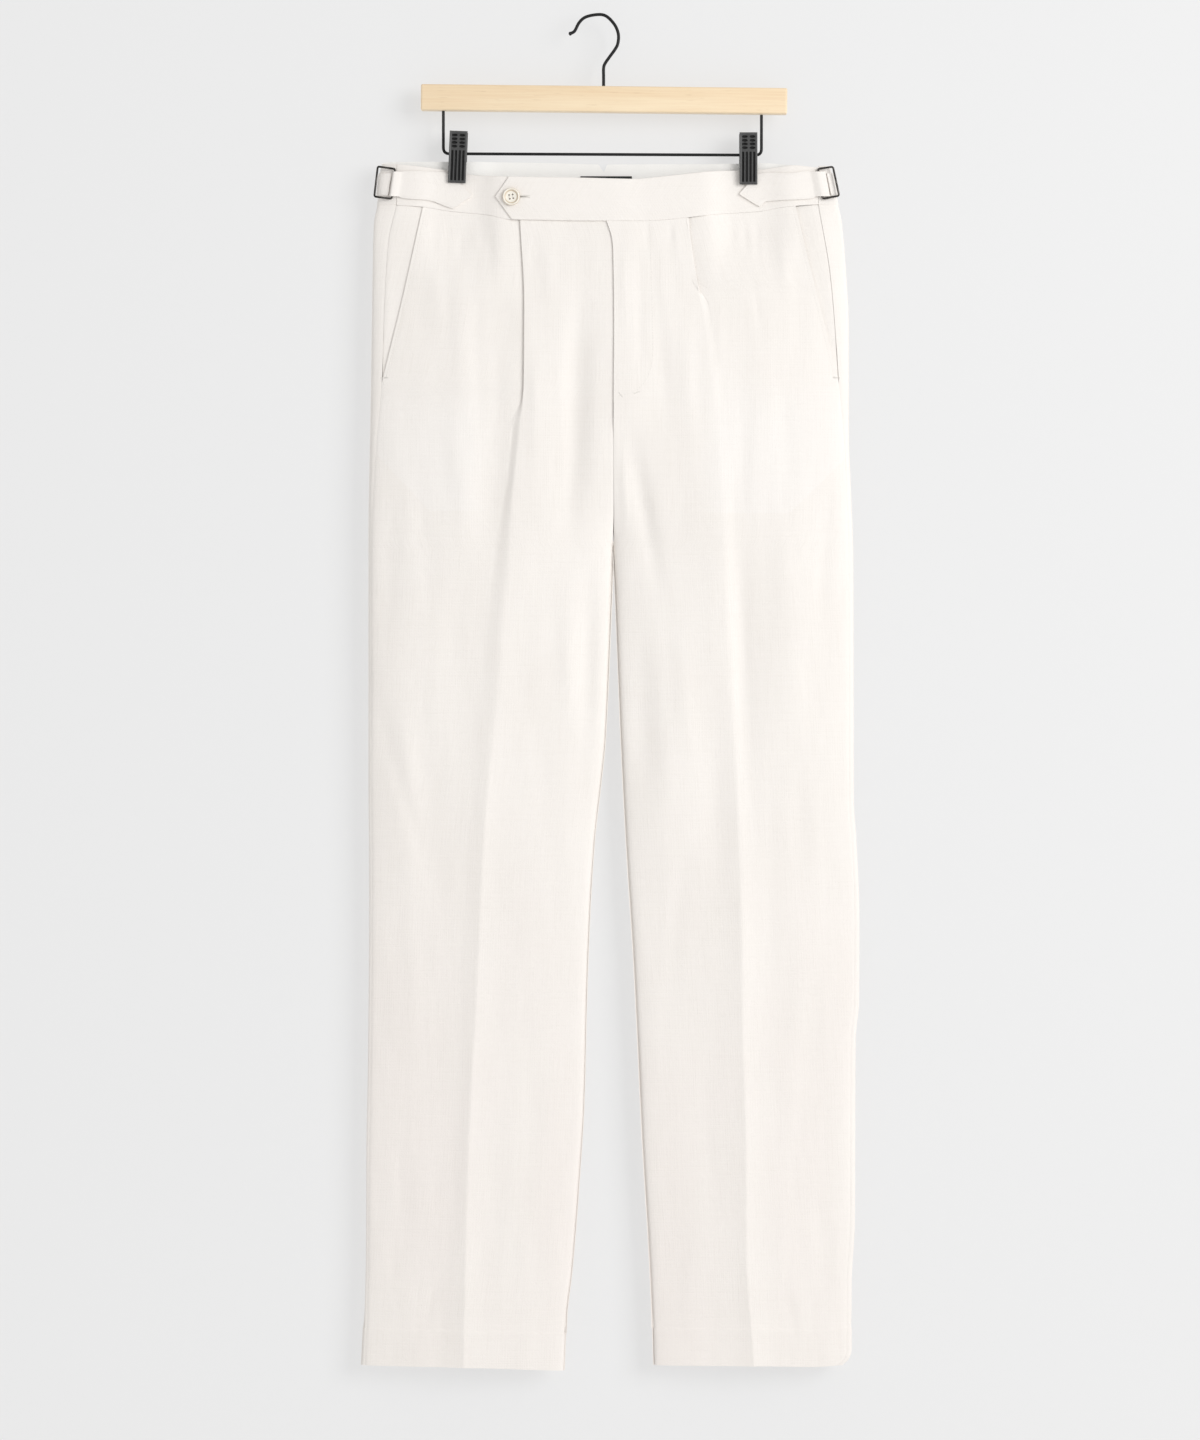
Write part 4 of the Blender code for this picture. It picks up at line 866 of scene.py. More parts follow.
def hem_outset(half, out, drop):
    """The turned-up hem is a second layer, and its stitches draw the cloth in a little."""
    below = drop - (half.hem(out) - HEM_DEPTH)
    return 0.3 * smoothstep(-0.5, 2.0, below) + groove(below, 0.35, 1.2)


def make_front(half, finish):
    rows = []
    for drop_at in row_functions(half, lambda out: FRONT_SEAM(half.sign * out)):
        out, y, drop, mouth, seam = front_row(half, drop_at)
        outset = fly_lap(half, out, drop) - RECESS + hem_outset(half, out, drop)
        if drop[-1] > MOUTH_END:
            outset = outset + groove(out - mouth)
        else:
            outset = outset + groove(mouth - TOPSTITCH_IN - out, 0.3, 1.0)
        if drop[0] > FLY_END + 30:
            outset = outset + groove(out - out[0])
        rows.append(row_in_space(half, out, y, drop, outset))
    return cloth_piece(f"front_{half.name}_cloth", finish, half, rows, LINEN)


# %% [markdown]
# ## Pocket facings
#
# Behind each slanted mouth lies a second piece of the same cloth, set back by its own thickness, so
# the mouth's folded edge throws a thin shadow on it. It comes up to the surface at the side seam.

# %% Pocket facings
FACING_END = 361.0
# How far the facing is set back at the mouth: (drop, depth). At the seam the left one stays lower.
FACING_SUNK = {
    "right": Line((180, LINEN + 0.5), (361, LINEN + 0.5)),
    "left": Line((180, LINEN + 2.2), (260, LINEN + 2.0), (320, LINEN + 0.9), (345, LINEN + 0.3),
                 (361, LINEN + 0.25)),
}
SUNK_AT_SEAM = {"right": 0.0, "left": 0.9}
NARROWS = (2.0, 14.0)


def make_pocket_facing(half, finish):
    rows = []
    for drop_at in row_functions(half, lambda out: FRONT_SEAM(half.sign * out)):
        *_, mouth, seam = front_row(half, drop_at)
        if drop_at(seam) > FACING_END:
            break
        lap_end = mouth - FACING_LAP
        out = lap_end + FACING_SHARES * (seam - SEWN_GAP - lap_end)
        drop = drop_at(out)
        at_mouth = FACING_SUNK[half.name](drop)
        at_seam = np.maximum(SUNK_AT_SEAM[half.name],
                             at_mouth * (1.0 - smoothstep(*NARROWS, seam - mouth)))
        sunk = at_mouth + (at_seam - at_mouth) * smoothstep(mouth, seam, out)
        outset = groove(seam - out) * (sunk < 0.6) - RECESS - sunk
        rows.append(row_in_space(half, out, face_y(half, "front", out, drop), drop, outset))
    return cloth_piece(f"pocket_facing_{half.name}_cloth", finish, half, rows, LINEN)


# %% [markdown]
# ## Back legs
#
# A back starts at the side seam, which on these trousers lies a little to the front, wraps round
# the outer edge and runs across the back to the seat seam or the inseam.

# %% Back legs
WRAP_SHARES = np.linspace(1.0, 0.0, 16)[:-1] ** 1.6
BACK_SHARES = spaced_from_edges(78, (0.0015, 0.004, 0.008)) ** 1.15


def wrapped_row(half, start, level, back, back_drop):
    """A row from a place on the front round the outer edge and on across the back."""
    share = float(share_of_turn(half, "front", start, level))
    wrap = out_at(half, "front", share * WRAP_SHARES, level)
    wrap_drop, back_drop = np.full_like(wrap, level), np.broadcast_to(back_drop, back.shape)
    y = (face_y(half, "front", wrap, wrap_drop), face_y(half, "back", back, back_drop))
    return np.concatenate((wrap, back)), np.concatenate(y), np.concatenate((wrap_drop, back_drop))


def make_back(half, finish):
    rows = []
    for drop_at in row_functions(half, lambda out: BACK_SEAM + 0.0 * out):
        seam, crease = settle(half.seam, drop_at), settle(half.crease, drop_at)
        back = out_at(half, "back", BACK_SHARES, float(drop_at(crease)))
        back[-1] += SEWN_GAP
        out, y, drop = wrapped_row(half, seam, float(drop_at(seam)), back, drop_at(back))
        on_back = np.arange(len(out)) >= len(WRAP_SHARES)
        outset = hem_outset(half, out, drop) - RECESS
        outset = outset + np.where(on_back, groove(out - back[-1]), groove(seam - out))
        rows.append(row_in_space(half, out, y, drop, outset))
    return cloth_piece(f"back_{half.name}_cloth", finish, half, rows, LINEN)


# %% [markdown]
# ## Waistband
#
# The band has two layers with an interlining, so it is thicker and smoother than the legs, and its
# edges are soft folds. The wearer's left band runs on past the fly as an extension with a pointed
# end, which laps over the right band and buttons there. At the back the bands part in a small V.

# %% Waistband
BAND_ROWS = np.linspace(0.0, 1.0, 19)
TAB_END = ((0.0, -85.1), (0.5, -98.5), (1.0, -82.2))   # the pointed end: (share of height, x)
BAND_LAP = WAISTBAND + 0.2
BAND_LAP_FADES = (14.0, 50.0)
BAND_RIPPLE = 0.14
RIGHT_BAND_START = 12.0
SIDE_OUT = 200.0          # where the band's levels at the side are read
NOTCH_X = {"right": 1.5, "left": 10.8}      # where the V at the centre back begins on each side


def band_piece(kind, half, rows, finish):
    """The inside of the band, which shows behind the button, has a paler, smoother finish: painted
    light that lifts the shade it lies in.
    """
    name = f"waistband_{kind}_{half.name}_cloth"
    band = cloth_piece(name, finish, half, rows, WAISTBAND, BAND_EDGE)
    band.data.materials.append(BAND_INSIDE_LIGHTENED)
    band.modifiers["thickness"].material_offset = 1
    return band


def pointed(end, share):
    places, xs = zip(*end)
    return float(np.interp(share, places, xs))


def band_side(half, share):
    """How far down the band's side is, at a share of its height."""
    return float(FRONT_TOP(half.sign * SIDE_OUT) * (1 - share) + BACK_SEAM * share)


def make_front_waistband(half, finish):
    rows = []
    for share in BAND_ROWS:
        side = half.sign * float(half.seam(band_side(half, share)) - SEWN_GAP)
        start = RIGHT_BAND_START if half is RIGHT else pointed(TAB_END, share)
        x = start + np.linspace(0.0, 1.0, 96) * (side - start)
        drop = FRONT_TOP(x) + share * (FRONT_SEAM(x) - FRONT_TOP(x))
        noise = soft_noise(x / 21.0 + 50.0, drop / 30.0, 21)
        lap = BAND_LAP * (1.0 - smoothstep(*BAND_LAP_FADES, x)) * (half is LEFT)
        outset = lap + BAND_RIPPLE * noise * math.sin(math.pi * share)
        y = face_y(half, "front", half.sign * x, drop)
        rows.append(row_in_space(half, half.sign * x, y, drop, outset))
    return band_piece("front", half, rows, finish)


def make_back_waistband(half, finish):
    rows = []
    for share in BAND_ROWS:
        level = band_side(half, share)
        notch = float(share_of_turn(half, "back", half.sign * NOTCH_X[half.name], level))
        shares, beside = np.linspace(0.0, 1.0, 72) ** 1.15, np.linspace(0.25, 1.0, 4)
        turns = np.concatenate((shares * notch, notch + beside * (1 - notch)))
        back = out_at(half, "back", turns, level)
        back[-1] += SEWN_GAP
        drop = BACK_TOP(half.sign * back) * (1 - share) + BACK_SEAM * share
        rows.append(row_in_space(half, *wrapped_row(half, half.seam(level), level, back, drop)))
    return band_piece("back", half, rows, finish)


# %% [markdown]
# ## Side straps
#
# Each side has a strap that takes the waist in. Its pointed end lies on the front band, it goes
# round the inner bar of a wire buckle, and a short band from the back passes under the buckle. The
# strap turns back on itself, so its outside and inside are lofted together: two lines of (place
# along, height above the band) that a smooth curve runs through.

# %% Side straps and their bands from the back
@dataclass
class SideTab:
    half: Half
    top: Line             # upper edge of the strap: (out, drop)
    bottom: Line          # lower edge: (out, drop)
    end: tuple            # the pointed free end: (share of height, out)
    bar: tuple            # the buckle's inner bar: out at the top and at the bottom
    bar_drops: tuple
    outer_bar: tuple      # out at the top and at the bottom
    outer_drops: tuple
    reach: float          # how far the strap's loop goes past the bar


SIDE_TABS = (
    SideTab(RIGHT, Line((120, 158), (140.6, 155.4), (147.4, 152.4), (184, 151.6), (196, 152.4)),
            Line((120, 190), (139.6, 187.5), (163.5, 179.8), (184, 178.4), (196, 176.2)),
            ((0.0, 140.6), (0.53, 120.2), (1.0, 139.6)),
            bar=(195.2, 198.6), bar_drops=(149.6, 178.6),
            outer_bar=(212.4, 215.8), outer_drops=(147.2, 176.4), reach=2.4),
    SideTab(LEFT, Line((138, 155), (156.2, 153.9), (165, 152.8), (186.3, 153.6), (205, 151.8),
                       (216, 152.4)),
            Line((138, 187), (158.5, 185.7), (165, 180.8), (205, 178.6), (217, 176.2)),
            ((0.0, 156.2), (0.58, 138.4), (1.0, 158.5)),
            bar=(215, 219.4), bar_drops=(149.4, 178.6),
            outer_bar=(229.6, 235.6), outer_drops=(147.4, 175.6), reach=7.0),
)
BUCKLE_WIRE = 1.0
BAR_HEIGHT = GAP + LOOP_CLOTH + GAP + BUCKLE_WIRE
ROUND = BUCKLE_WIRE + GAP
LOOP = (
    # far, outside out, outside height, inside out, inside height
    (False, -7.0, GAP + STRAP, -7.0, GAP),
    (False, -3.4, BAR_HEIGHT + ROUND, -4.0, BAR_HEIGHT - 0.6),
    (False, 0.0, BAR_HEIGHT + ROUND + LOOP_CLOTH, 0.0, BAR_HEIGHT + ROUND),
    (True, -0.8, BAR_HEIGHT + ROUND + 0.4, -1.4, BAR_HEIGHT + 0.95),
    (True, 0.0, BAR_HEIGHT, -LOOP_CLOTH, BAR_HEIGHT),
    (True, -0.8, GAP + 0.6, -1.4, BAR_HEIGHT - 0.95),
    (False, 0.0, GAP, 0.0, GAP + LOOP_CLOTH),
    (False, -3.0, GAP, -3.0, GAP + LOOP_CLOTH),
)
STRAP_ROWS = np.linspace(0.0, 1.0, 15)
STRAP_ROUND = 12.0        # how quickly its edges round off
FLAT_END = 9.0            # where the strap leaves the band, before the bar
ANCHOR_REACH = 185.0      # where the band from the back is sewn on, behind
ANCHOR_ROUND = 1.2
ANCHOR_ROWS = np.linspace(0.0, 1.0, 11)
SLOPE_STEP = 0.5


def raised(half, out, drop, height):
    """Points (out, y) a height above the front's outside, and the directions they rose in."""
    out, drop, height = (np.atleast_1d(np.asarray(value, float)) for value in (out, drop, height))
    limit = half.outer(drop) - 0.01
    high, low = np.minimum(out + SLOPE_STEP, limit), np.minimum(out - SLOPE_STEP, limit)
    rise = face_y(half, "front", high, drop) - face_y(half, "front", low, drop)
    normal = np.stack((rise, low - high), axis=1)
    normal /= np.linalg.norm(normal, axis=1, keepdims=True)
    points = np.stack((out, face_y(half, "front", out, drop)), axis=1)
    return points + normal * height[:, None], normal


def above_front(half, out, drop, height):
    """The same in metres, as x, y and z."""
    out, drop = (np.atleast_1d(value).astype(float) for value in np.broadcast_arrays(out, drop))
    points, normal = raised(half, out, drop, height)
    directions = np.stack((half.sign * normal[:, 0], normal[:, 1], 0 * drop), axis=1)
    return in_metres(half, *points.T, drop), directions


def smooth_path(points, steps):
    """Points on a smooth curve through given ones."""
    points = np.asarray(points, float)
    ends = np.concatenate((2 * points[:1] - points[1:2], points, 2 * points[-1:] - points[-2:-1]))
    path = []
    for a, b, c, d in zip(ends, ends[1:], ends[2:], ends[3:]):
        for t in np.arange(steps) / steps:
            path.append(0.5 * (2 * b + (c - a) * t + (2 * a - 5 * b + 4 * c - d) * t**2
                               + (3 * b - a - 3 * c + d) * t**3))
    return np.array(path + [points[-1]])


def make_side_strap(tab, finish):
    half = tab.half
    grids = ([], [])
    for share in STRAP_ROWS:
        bar, end = tab.bar[0] + share * (tab.bar[1] - tab.bar[0]), pointed(tab.end, share)
        flat_out = end + np.linspace(0.0, 1.0, 40) * (bar - FLAT_END - end)
        flat_drop = tab.top(flat_out) + share * (tab.bottom(flat_out) - tab.top(flat_out))
        bar_drop = float(tab.top(bar) + share * (tab.bottom(bar) - tab.top(bar)))
        place, normal = (value[0] for value in raised(half, bar, bar_drop, 0.0))
        tangent = np.array((-normal[1], normal[0]))
        from_edge = 1.0 - min(1.0, STRAP_ROUND * min(share, 1.0 - share))
        edge = 0.5 * STRAP * (1.0 - math.sqrt(1.0 - from_edge ** 2))
        heights = (GAP + STRAP - 0.6 * edge, GAP + 0.6 * edge)
        for grid, side, height in zip(grids, (1, 3), heights):
            flat, _ = raised(half, flat_out, flat_drop, height)
            loop = [place + tangent * (row[side] + tab.reach * row[0]) + normal * row[side + 1]
                    for row in LOOP]
            line = np.concatenate((flat, smooth_path(loop, 4)))
            drops = np.concatenate((flat_drop, np.full(len(line) - len(flat), bar_drop)))
            grid.append(in_metres(half, *line.T, drops))
    grids = (np.array(grid) for grid in grids)
    return closed_loft(f"side_strap_{half.name}_cloth", finish, *grids, half.sign > 0)


def make_strap_anchor(tab, finish):
    """The band that is sewn to the back waistband and comes round the side under the buckle."""
    half = tab.half
    rows = []
    for share in ANCHOR_ROWS:
        bar = tab.bar[0] + share * (tab.bar[1] - tab.bar[0])
        drop = float(tab.top(bar) + 1 + share * (tab.bottom(bar) - tab.top(bar) - 2))
        last = float(share_of_turn(half, "back", ANCHOR_REACH, drop))
        back = out_at(half, "back", last * np.linspace(0.0, 1.0, 24)**1.3, drop)
        row = wrapped_row(half, bar + tab.reach + ANCHOR_ROUND, drop, back, drop)
        rows.append(row_in_space(half, *row, GAP + ANCHOR))
    return cloth_piece(f"strap_anchor_{half.name}_cloth", finish, half, rows, ANCHOR, SOFT_EDGE)


# %% Cut and hang the cloth
def dress(piece, node):
    """The piece rides on the body in its solid's place."""
    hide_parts(node)
    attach(piece, BODY)


LINEN_PLAIN = linen_finish("linen")
LINEN_FRONTS = {
    # inner out, outer out, where the cut begins, lowest edge, width of the cut
    "right": linen_finish("linen_front_right", bag=(0.100, 0.2135, -0.4270, -0.4820, 0.0520)),
    "left": linen_finish("linen_front_left", bag=(0.092, 0.2455, -0.4270, -0.4840, 0.0580)),
}

legs, bands, straps = [], [], []
for half in HALVES:
    legs += [make_front(half, LINEN_FRONTS[half.name]), make_back(half, LINEN_PLAIN),
             make_pocket_facing(half, LINEN_PLAIN)]
    bands += [make_front_waistband(half, LINEN_PLAIN), make_back_waistband(half, LINEN_PLAIN)]
for tab in SIDE_TABS:
    straps += [make_side_strap(tab, LINEN_PLAIN), make_strap_anchor(tab, LINEN_PLAIN)]
CLOTH_PIECES = legs + bands + straps
for piece in CLOTH_PIECES:
    dress(piece, piece.name.removesuffix("_cloth"))
print("pieces of linen:", len(CLOTH_PIECES))

# %% [markdown]
# ## Buckles, button and label
#
# Each buckle is one bent wire, drawn as a curve with rounded corners and a round section. The
# button is turned: half its section is spun about its axis. Its four holes are dark discs of painted
# shadow set into the dished middle, where the thread comes up in two short bars.

# %% Wires
def rounded_corners(points, radius, steps, cyclic):
    """A path through given corners, with each corner cut by a short curve."""
    path = []
    for n, here in enumerate(points):
        if not cyclic and n in (0, len(points) - 1):
            path.append(here)
            continue
        ways = [other - here for other in (points[n - 1], points[(n + 1) % len(points)])]
        first, last = (here + way * min(0.5, radius / np.linalg.norm(way)) for way in ways)
        for t in np.linspace(0.0, 1.0, steps):
            path.append((1 - t) ** 2 * first + 2 * t * (1 - t) * here + t**2 * last)
    return path


def wire(name, finish, path, radius, radii=None, cyclic=False):
    """A round wire along a path in metres, its ends closed."""
    data = bpy.data.curves.new(name, "CURVE")
    data.dimensions = "3D"
    data.bevel_depth = radius * MM
    data.bevel_resolution = 8
    data.use_fill_caps = True
    spline = data.splines.new("POLY")
    spline.points.add(len(path) - 1)
    for n, point in enumerate(path):
        spline.points[n].co = (*point, 1.0)
        spline.points[n].radius = radii[n] if radii is not None else 1.0
    spline.use_cyclic_u = cyclic
    return add_object(name, data, finish)


BUCKLE_CORNER = 2.0


def make_buckle(tab, finish):
    half = tab.half
    corners = [(*raised(half, out, drop, BAR_HEIGHT)[0][0], drop)
               for out, drop in zip(tab.bar, tab.bar_drops)]
    y = (corners[0][1] + corners[1][1]) / 2
    corners += [(out, y, drop) for out, drop in zip(tab.outer_bar[::-1], tab.outer_drops[::-1])]
    corners = [in_metres(half, *corner) for corner in corners]
    path = rounded_corners(corners, BUCKLE_CORNER * MM, 10, True)
    return wire(f"buckle_{half.name}_wire", finish, path, BUCKLE_WIRE, cyclic=True)


buckles = [make_buckle(tab, NICKEL) for tab in SIDE_TABS]
print("points in a buckle's wire:", [len(buckle.data.splines[0].points) for buckle in buckles])

# %% The button
BUTTON_PLACE = (-82.7, 177.0)
# Half its section, from the middle of the back to the middle of the front: (radius, height)
BUTTON_PROFILE = ((0.0, 0.0), (6.2, 0.0), (7.2, 0.25), (7.9, 0.7), (8.4, 1.35), (8.5, 1.8),
                  (8.38, 2.3), (8.05, 2.75), (7.55, 3.0), (7.1, 2.95), (6.75, 2.6), (6.55, 2.15),
                  (6.2, 1.85), (5.75, 1.75), (5.6, 1.45), (5.2, 1.3), (2.6, 1.2), (0.0, 1.2))
BUTTON_HOLES = 1.75                # half the distance between two holes
BUTTON_TURN = math.radians(10)
BUTTON_HEIGHT = BAND_LAP + 0.4     # of its back above the right band
HOLE_RADIUS, HOLE_HEIGHT = 0.85, 1.23


def mesh_piece(name, finish, shape, smooth_angle=50.0):
    """An object made from a bmesh."""
    data = bpy.data.meshes.new(name)
    shape.to_mesh(data)
    shape.free()
    data.shade_smooth()
    data.set_sharp_from_angle(angle=math.radians(smooth_angle))
    return add_object(name, data, finish)


def seat_on_band(x, drop, height):
    """A frame on the right front band's outside: its Z points out of the cloth."""
    seat, out_of_cloth = (Vector(value[0]) for value in above_front(RIGHT, -x, drop, height))
    return Matrix.Translation(seat) @ out_of_cloth.to_track_quat("Z", "Y").to_matrix().to_4x4()


def make_button(finish):
    shape = bmesh.new()
    ring = [shape.verts.new((radius * MM, 0.0, height * MM)) for radius, height in BUTTON_PROFILE]
    edges = [shape.edges.new(pair) for pair in zip(ring, ring[1:])]
    bmesh.ops.spin(shape, geom=ring + edges, axis=(0, 0, 1), cent=(0, 0, 0), steps=72,
                   angle=math.tau)
    bmesh.ops.remove_doubles(shape, verts=shape.verts, dist=1e-6)
    bmesh.ops.recalc_face_normals(shape, faces=shape.faces)
    return mesh_piece("button_turned", finish, shape, 60.0)


def make_button_holes(finish):
    """Four dark discs of painted shadow stand for the holes, just above the dished middle."""
    shape = bmesh.new()
    reach = BUTTON_HOLES * math.sqrt(2)
    for quarter in range(4):
        angle = BUTTON_TURN + math.pi / 4 + quarter * math.pi / 2
        place = Vector((math.cos(angle) * reach, math.sin(angle) * reach, HOLE_HEIGHT)) * MM
        bmesh.ops.create_circle(shape, cap_ends=True, segments=24, radius=HOLE_RADIUS * MM,
                                matrix=Matrix.Translation(place))
    bmesh.ops.recalc_face_normals(shape, faces=shape.faces)
    return mesh_piece("button_holes", finish, shape)


button, holes = make_button(HORN), make_button_holes(SLIT_SHADOW)
button.matrix_world = holes.matrix_world = seat_on_band(*BUTTON_PLACE, BUTTON_HEIGHT)
print("faces in the button:", len(button.data.polygons))

# %% The label
LABEL_X = np.linspace(34.5, -15.6, 34)
LABEL_DROPS = np.linspace(155.2, 182.0, 14)
LABEL_CLOTH = 0.8
label_rows = [row_in_space(LEFT, LABEL_X, face_y(LEFT, "back", LABEL_X, drop), drop, -WAISTBAND - GAP)
              for drop in LABEL_DROPS]
label = cloth_piece("label_tape", BLACK_TAPE, LEFT, label_rows, LABEL_CLOTH)
print("label rows:", len(label_rows))

# %% [markdown]
# ## The hanger
#
# A rounded stick of maple, and black wire bent along a few points of the photograph with a smooth
# curve through them.

# %% Bar, hook and wire
BAR_SIZE = (356.2, 11.0, 25.4)
BAR_CENTRE = (7.3, 81.1)          # x, drop
BAR_TILT = math.atan2(3.9, 356.2)
HOOK_RADIUS = 1.55
HOOK_TIP = 1.25                   # the tip's ball, as a multiple of the wire
HOOK_TIP_ROWS = 12
# Middle of the hook's wire from its tip to the bar: (x, drop)
HOOK = ((-27.1, 17.2), (-25.0, 16.6), (-21.2, 14.2), (-16.9, 6.2), (-10.7, 0.8), (0.0, -1.6),
        (7.9, -0.9), (14.1, 3.8), (19.1, 10.8), (21.4, 18.7), (20.6, 27.0), (17.8, 32.5),
        (12.8, 39.4), (8.3, 46.0), (6.9, 50.5), (6.9, 59.0), (6.9, 67.8))
WIRE_RADIUS = 1.45
WIRE_CORNERS = ((-149.0, 92.4), (-149.0, 133.7), (160.5, 135.1), (160.5, 96.1))
WIRE_BEND = 6.0
BAR_ROUND = 1.8


def make_bar(finish):
    shape = bmesh.new()
    bmesh.ops.create_cube(shape, size=1.0)
    bmesh.ops.scale(shape, vec=[side * MM for side in BAR_SIZE], verts=shape.verts)
    bmesh.ops.bevel(shape, geom=shape.edges, offset=BAR_ROUND * MM, segments=6, profile=0.5,
                    affect="EDGES")
    bar = mesh_piece("hanger_bar_wood", finish, shape, 40.0)
    bar.location = (BAR_CENTRE[0] * MM, 0.0, -BAR_CENTRE[1] * MM)
    bar.rotation_euler.y = BAR_TILT
    return bar


def make_hook(finish):
    path = smooth_path([(x * MM, 0.0, -drop * MM) for x, drop in HOOK], 8)
    radii = np.ones(len(path))
    ball = np.linspace(0.0, 1.15, HOOK_TIP_ROWS)
    radii[:HOOK_TIP_ROWS] += (HOOK_TIP - 1.0) * np.sin(math.pi * np.minimum(ball, 1.0))
    radii[:4] = (0.35, 0.75, 1.0, 1.15)
    return wire("hook_wire", finish, path, HOOK_RADIUS, radii)


def make_hanger_wire(finish):
    corners = [np.array((x, 0.0, -drop)) * MM for x, drop in WIRE_CORNERS]
    path = rounded_corners(corners, WIRE_BEND * MM, 12, False)
    return wire("hanger_wire_bent", finish, path, WIRE_RADIUS)


hanger = [make_bar(MAPLE), make_hook(BLACK_STEEL), make_hanger_wire(BLACK_STEEL)]
print("hanger pieces:", [piece.name for piece in hanger])

# %% [markdown]
# ## Clips
#
# A clip is two moulded jaws on the wire. Each is a lever seen from the side, pushed out to the
# clip's width. Its face is a height field with what the photograph shows: a raised rim, two columns
# of four oval dimples for the thumb, and four upright grooves over the pad that grips the cloth.

# %% Clip jaws
CLIP_WIDTH = 17.3
CLIP_HEIGHT = 50.4
# Top of each clip: x, drop, tilt
CLIP_TOPS = {"right": (-133.8, 112.6, math.radians(2.2)), "left": (147.6, 114.0, 0.0)}
WIRE_CLEARANCE = WIRE_RADIUS + GAP
FRONT_GRIP = CLIPPED_DEPTH + GAP + STRAP + GAP + 0.3
BACK_GRIP = CLIPPED_DEPTH + GAP + 0.2
DIMPLE_ROWS = (4.3, 8.0, 11.6, 15.2)          # below the clip's top
DIMPLE_COLUMNS = (-3.7, 3.7)
DIMPLE_SIZE = (3.0, 1.3)                      # half width, half height
GROOVES = (-5.4, -1.8, 1.8, 5.4)
GROOVE_SPAN = (18.8, 48.2)
FACE_COLUMNS, FACE_ROWS = 70, 150
RELIEF_DEPTH = 1.3                            # of dimples and grooves
EDGE_ROUND = 0.9


def jaw_profile(grip):
    """A lever: thin at the top, with a rib that bears on the wire, and a pad that grips the cloth."""
    back = grip + 2.6
    outside = ((back + 0.6, 0.0), (back + 1.6, 5.0), (back + 1.8, 24.0), (back + 1.0, 38.0),
               (back, CLIP_HEIGHT))
    inside = ((back - 2.0, 0.0), (WIRE_CLEARANCE + 1.8, 14.5), (WIRE_CLEARANCE, 18.5),
              (WIRE_CLEARANCE, 23.5), (max(grip, WIRE_CLEARANCE + 1.2), 27.0), (grip, 36.0),
              (grip, CLIP_HEIGHT))
    return [[np.array(column) for column in list(zip(*line))[::-1]] for line in (outside, inside)]


def jaw_relief(across, down):
    """How far the jaw's face stands out from its plain outline."""
    rim = 1.0 - smoothstep(0.9, 1.9, CLIP_WIDTH / 2 - np.abs(across))
    relief = 0.45 * np.maximum(rim, 1.0 - smoothstep(1.0, 2.2, down)) - 0.3
    for row in DIMPLE_ROWS:
        for column in DIMPLE_COLUMNS:
            reach = ((across - column) / DIMPLE_SIZE[0]) ** 2 + ((down - row) / DIMPLE_SIZE[1]) ** 2
            relief = relief - RELIEF_DEPTH * (1.0 - smoothstep(0.45, 1.0, reach))
    first, last = GROOVE_SPAN
    in_span = smoothstep(first, first + 1.0, down) * (1 - smoothstep(last - 0.6, last, down))
    for place in GROOVES:
        relief = relief - RELIEF_DEPTH * np.exp(-((across - place) / 0.85) ** 4) * in_span
    return relief


def jaw_rounding(across, down):
    """The soft edges: how far the face draws back at the jaw's sides, top and bottom."""
    nearest = np.minimum.reduce((CLIP_WIDTH / 2 - np.abs(across), down, CLIP_HEIGHT - down))
    inwards = np.clip(1.0 - nearest / EDGE_ROUND, 0.0, 1.0)
    return -EDGE_ROUND * (1.0 - np.sqrt(1.0 - inwards**2))


def make_jaw(side, face, finish):
    x, drop, tilt = CLIP_TOPS[side]
    toward, grip = (-1, FRONT_GRIP) if face == "front" else (1, BACK_GRIP)
    outside, inside = jaw_profile(grip)
    across, down = np.meshgrid(np.linspace(-1, 1, FACE_COLUMNS) * CLIP_WIDTH / 2,
                               np.linspace(0, CLIP_HEIGHT, FACE_ROWS))
    relief = jaw_relief(across, down)
    face_y_out = np.interp(down, *outside) + relief + jaw_rounding(across, down)
    outer, inner = (np.stack((across, toward * y, -down), axis=-1) * MM
                    for y in (face_y_out, np.interp(down, *inside)))
    jaw = closed_loft(f"clip_{face}_{side}_moulded", finish, outer, inner, toward > 0)
    # painted light and shade: 1 on the raised face, painted a lit grey, 0 deep in dimples and grooves,
    # painted a shaded black; the inside gets 0.4
    worn = smoothstep(-0.9, 0.05, relief).ravel()
    marks = jaw.data.attributes.new("worn", "FLOAT", "POINT")
    marks.data.foreach_set("value", np.concatenate((worn, np.full_like(worn, 0.4))))
    jaw.location = (x * MM, 0.0, -drop * MM)
    jaw.rotation_euler.y = tilt
    return jaw


jaws = [make_jaw(side, face, BLACK_PLASTIC) for side in CLIP_TOPS for face in ("front", "back")]
print("faces in a jaw:", len(jaws[0].data.polygons))

# %% [markdown]
# ## Pocket bags
#
# The bags hang inside, behind the facings, and are cut off on the slant at the lower outer corner.
# Only their light patch is seen from the front.

# %% Pocket bags
BAG_LEVELS = np.arange(230.0, 485.0, 4.0)
BAG_CORNER, BAG_BOTTOM = 427.0, 484.0
BAG_DIAGONAL = 50.0       # as far in as this at the bottom
BAG_SIDE_ROOM = 3.0
BAG_SUNK = 4.5            # the front, the facing and some air lie in front of it
BAG_CLOTH = 0.6
BAG_WAVE = 0.5
BAG_INNER = {
    "right": Line((230, 84), (360, 96), (420, 107), (484, 121)),
    "left": Line((230, 109), (360, 142), (420, 153), (484, 159)),
}


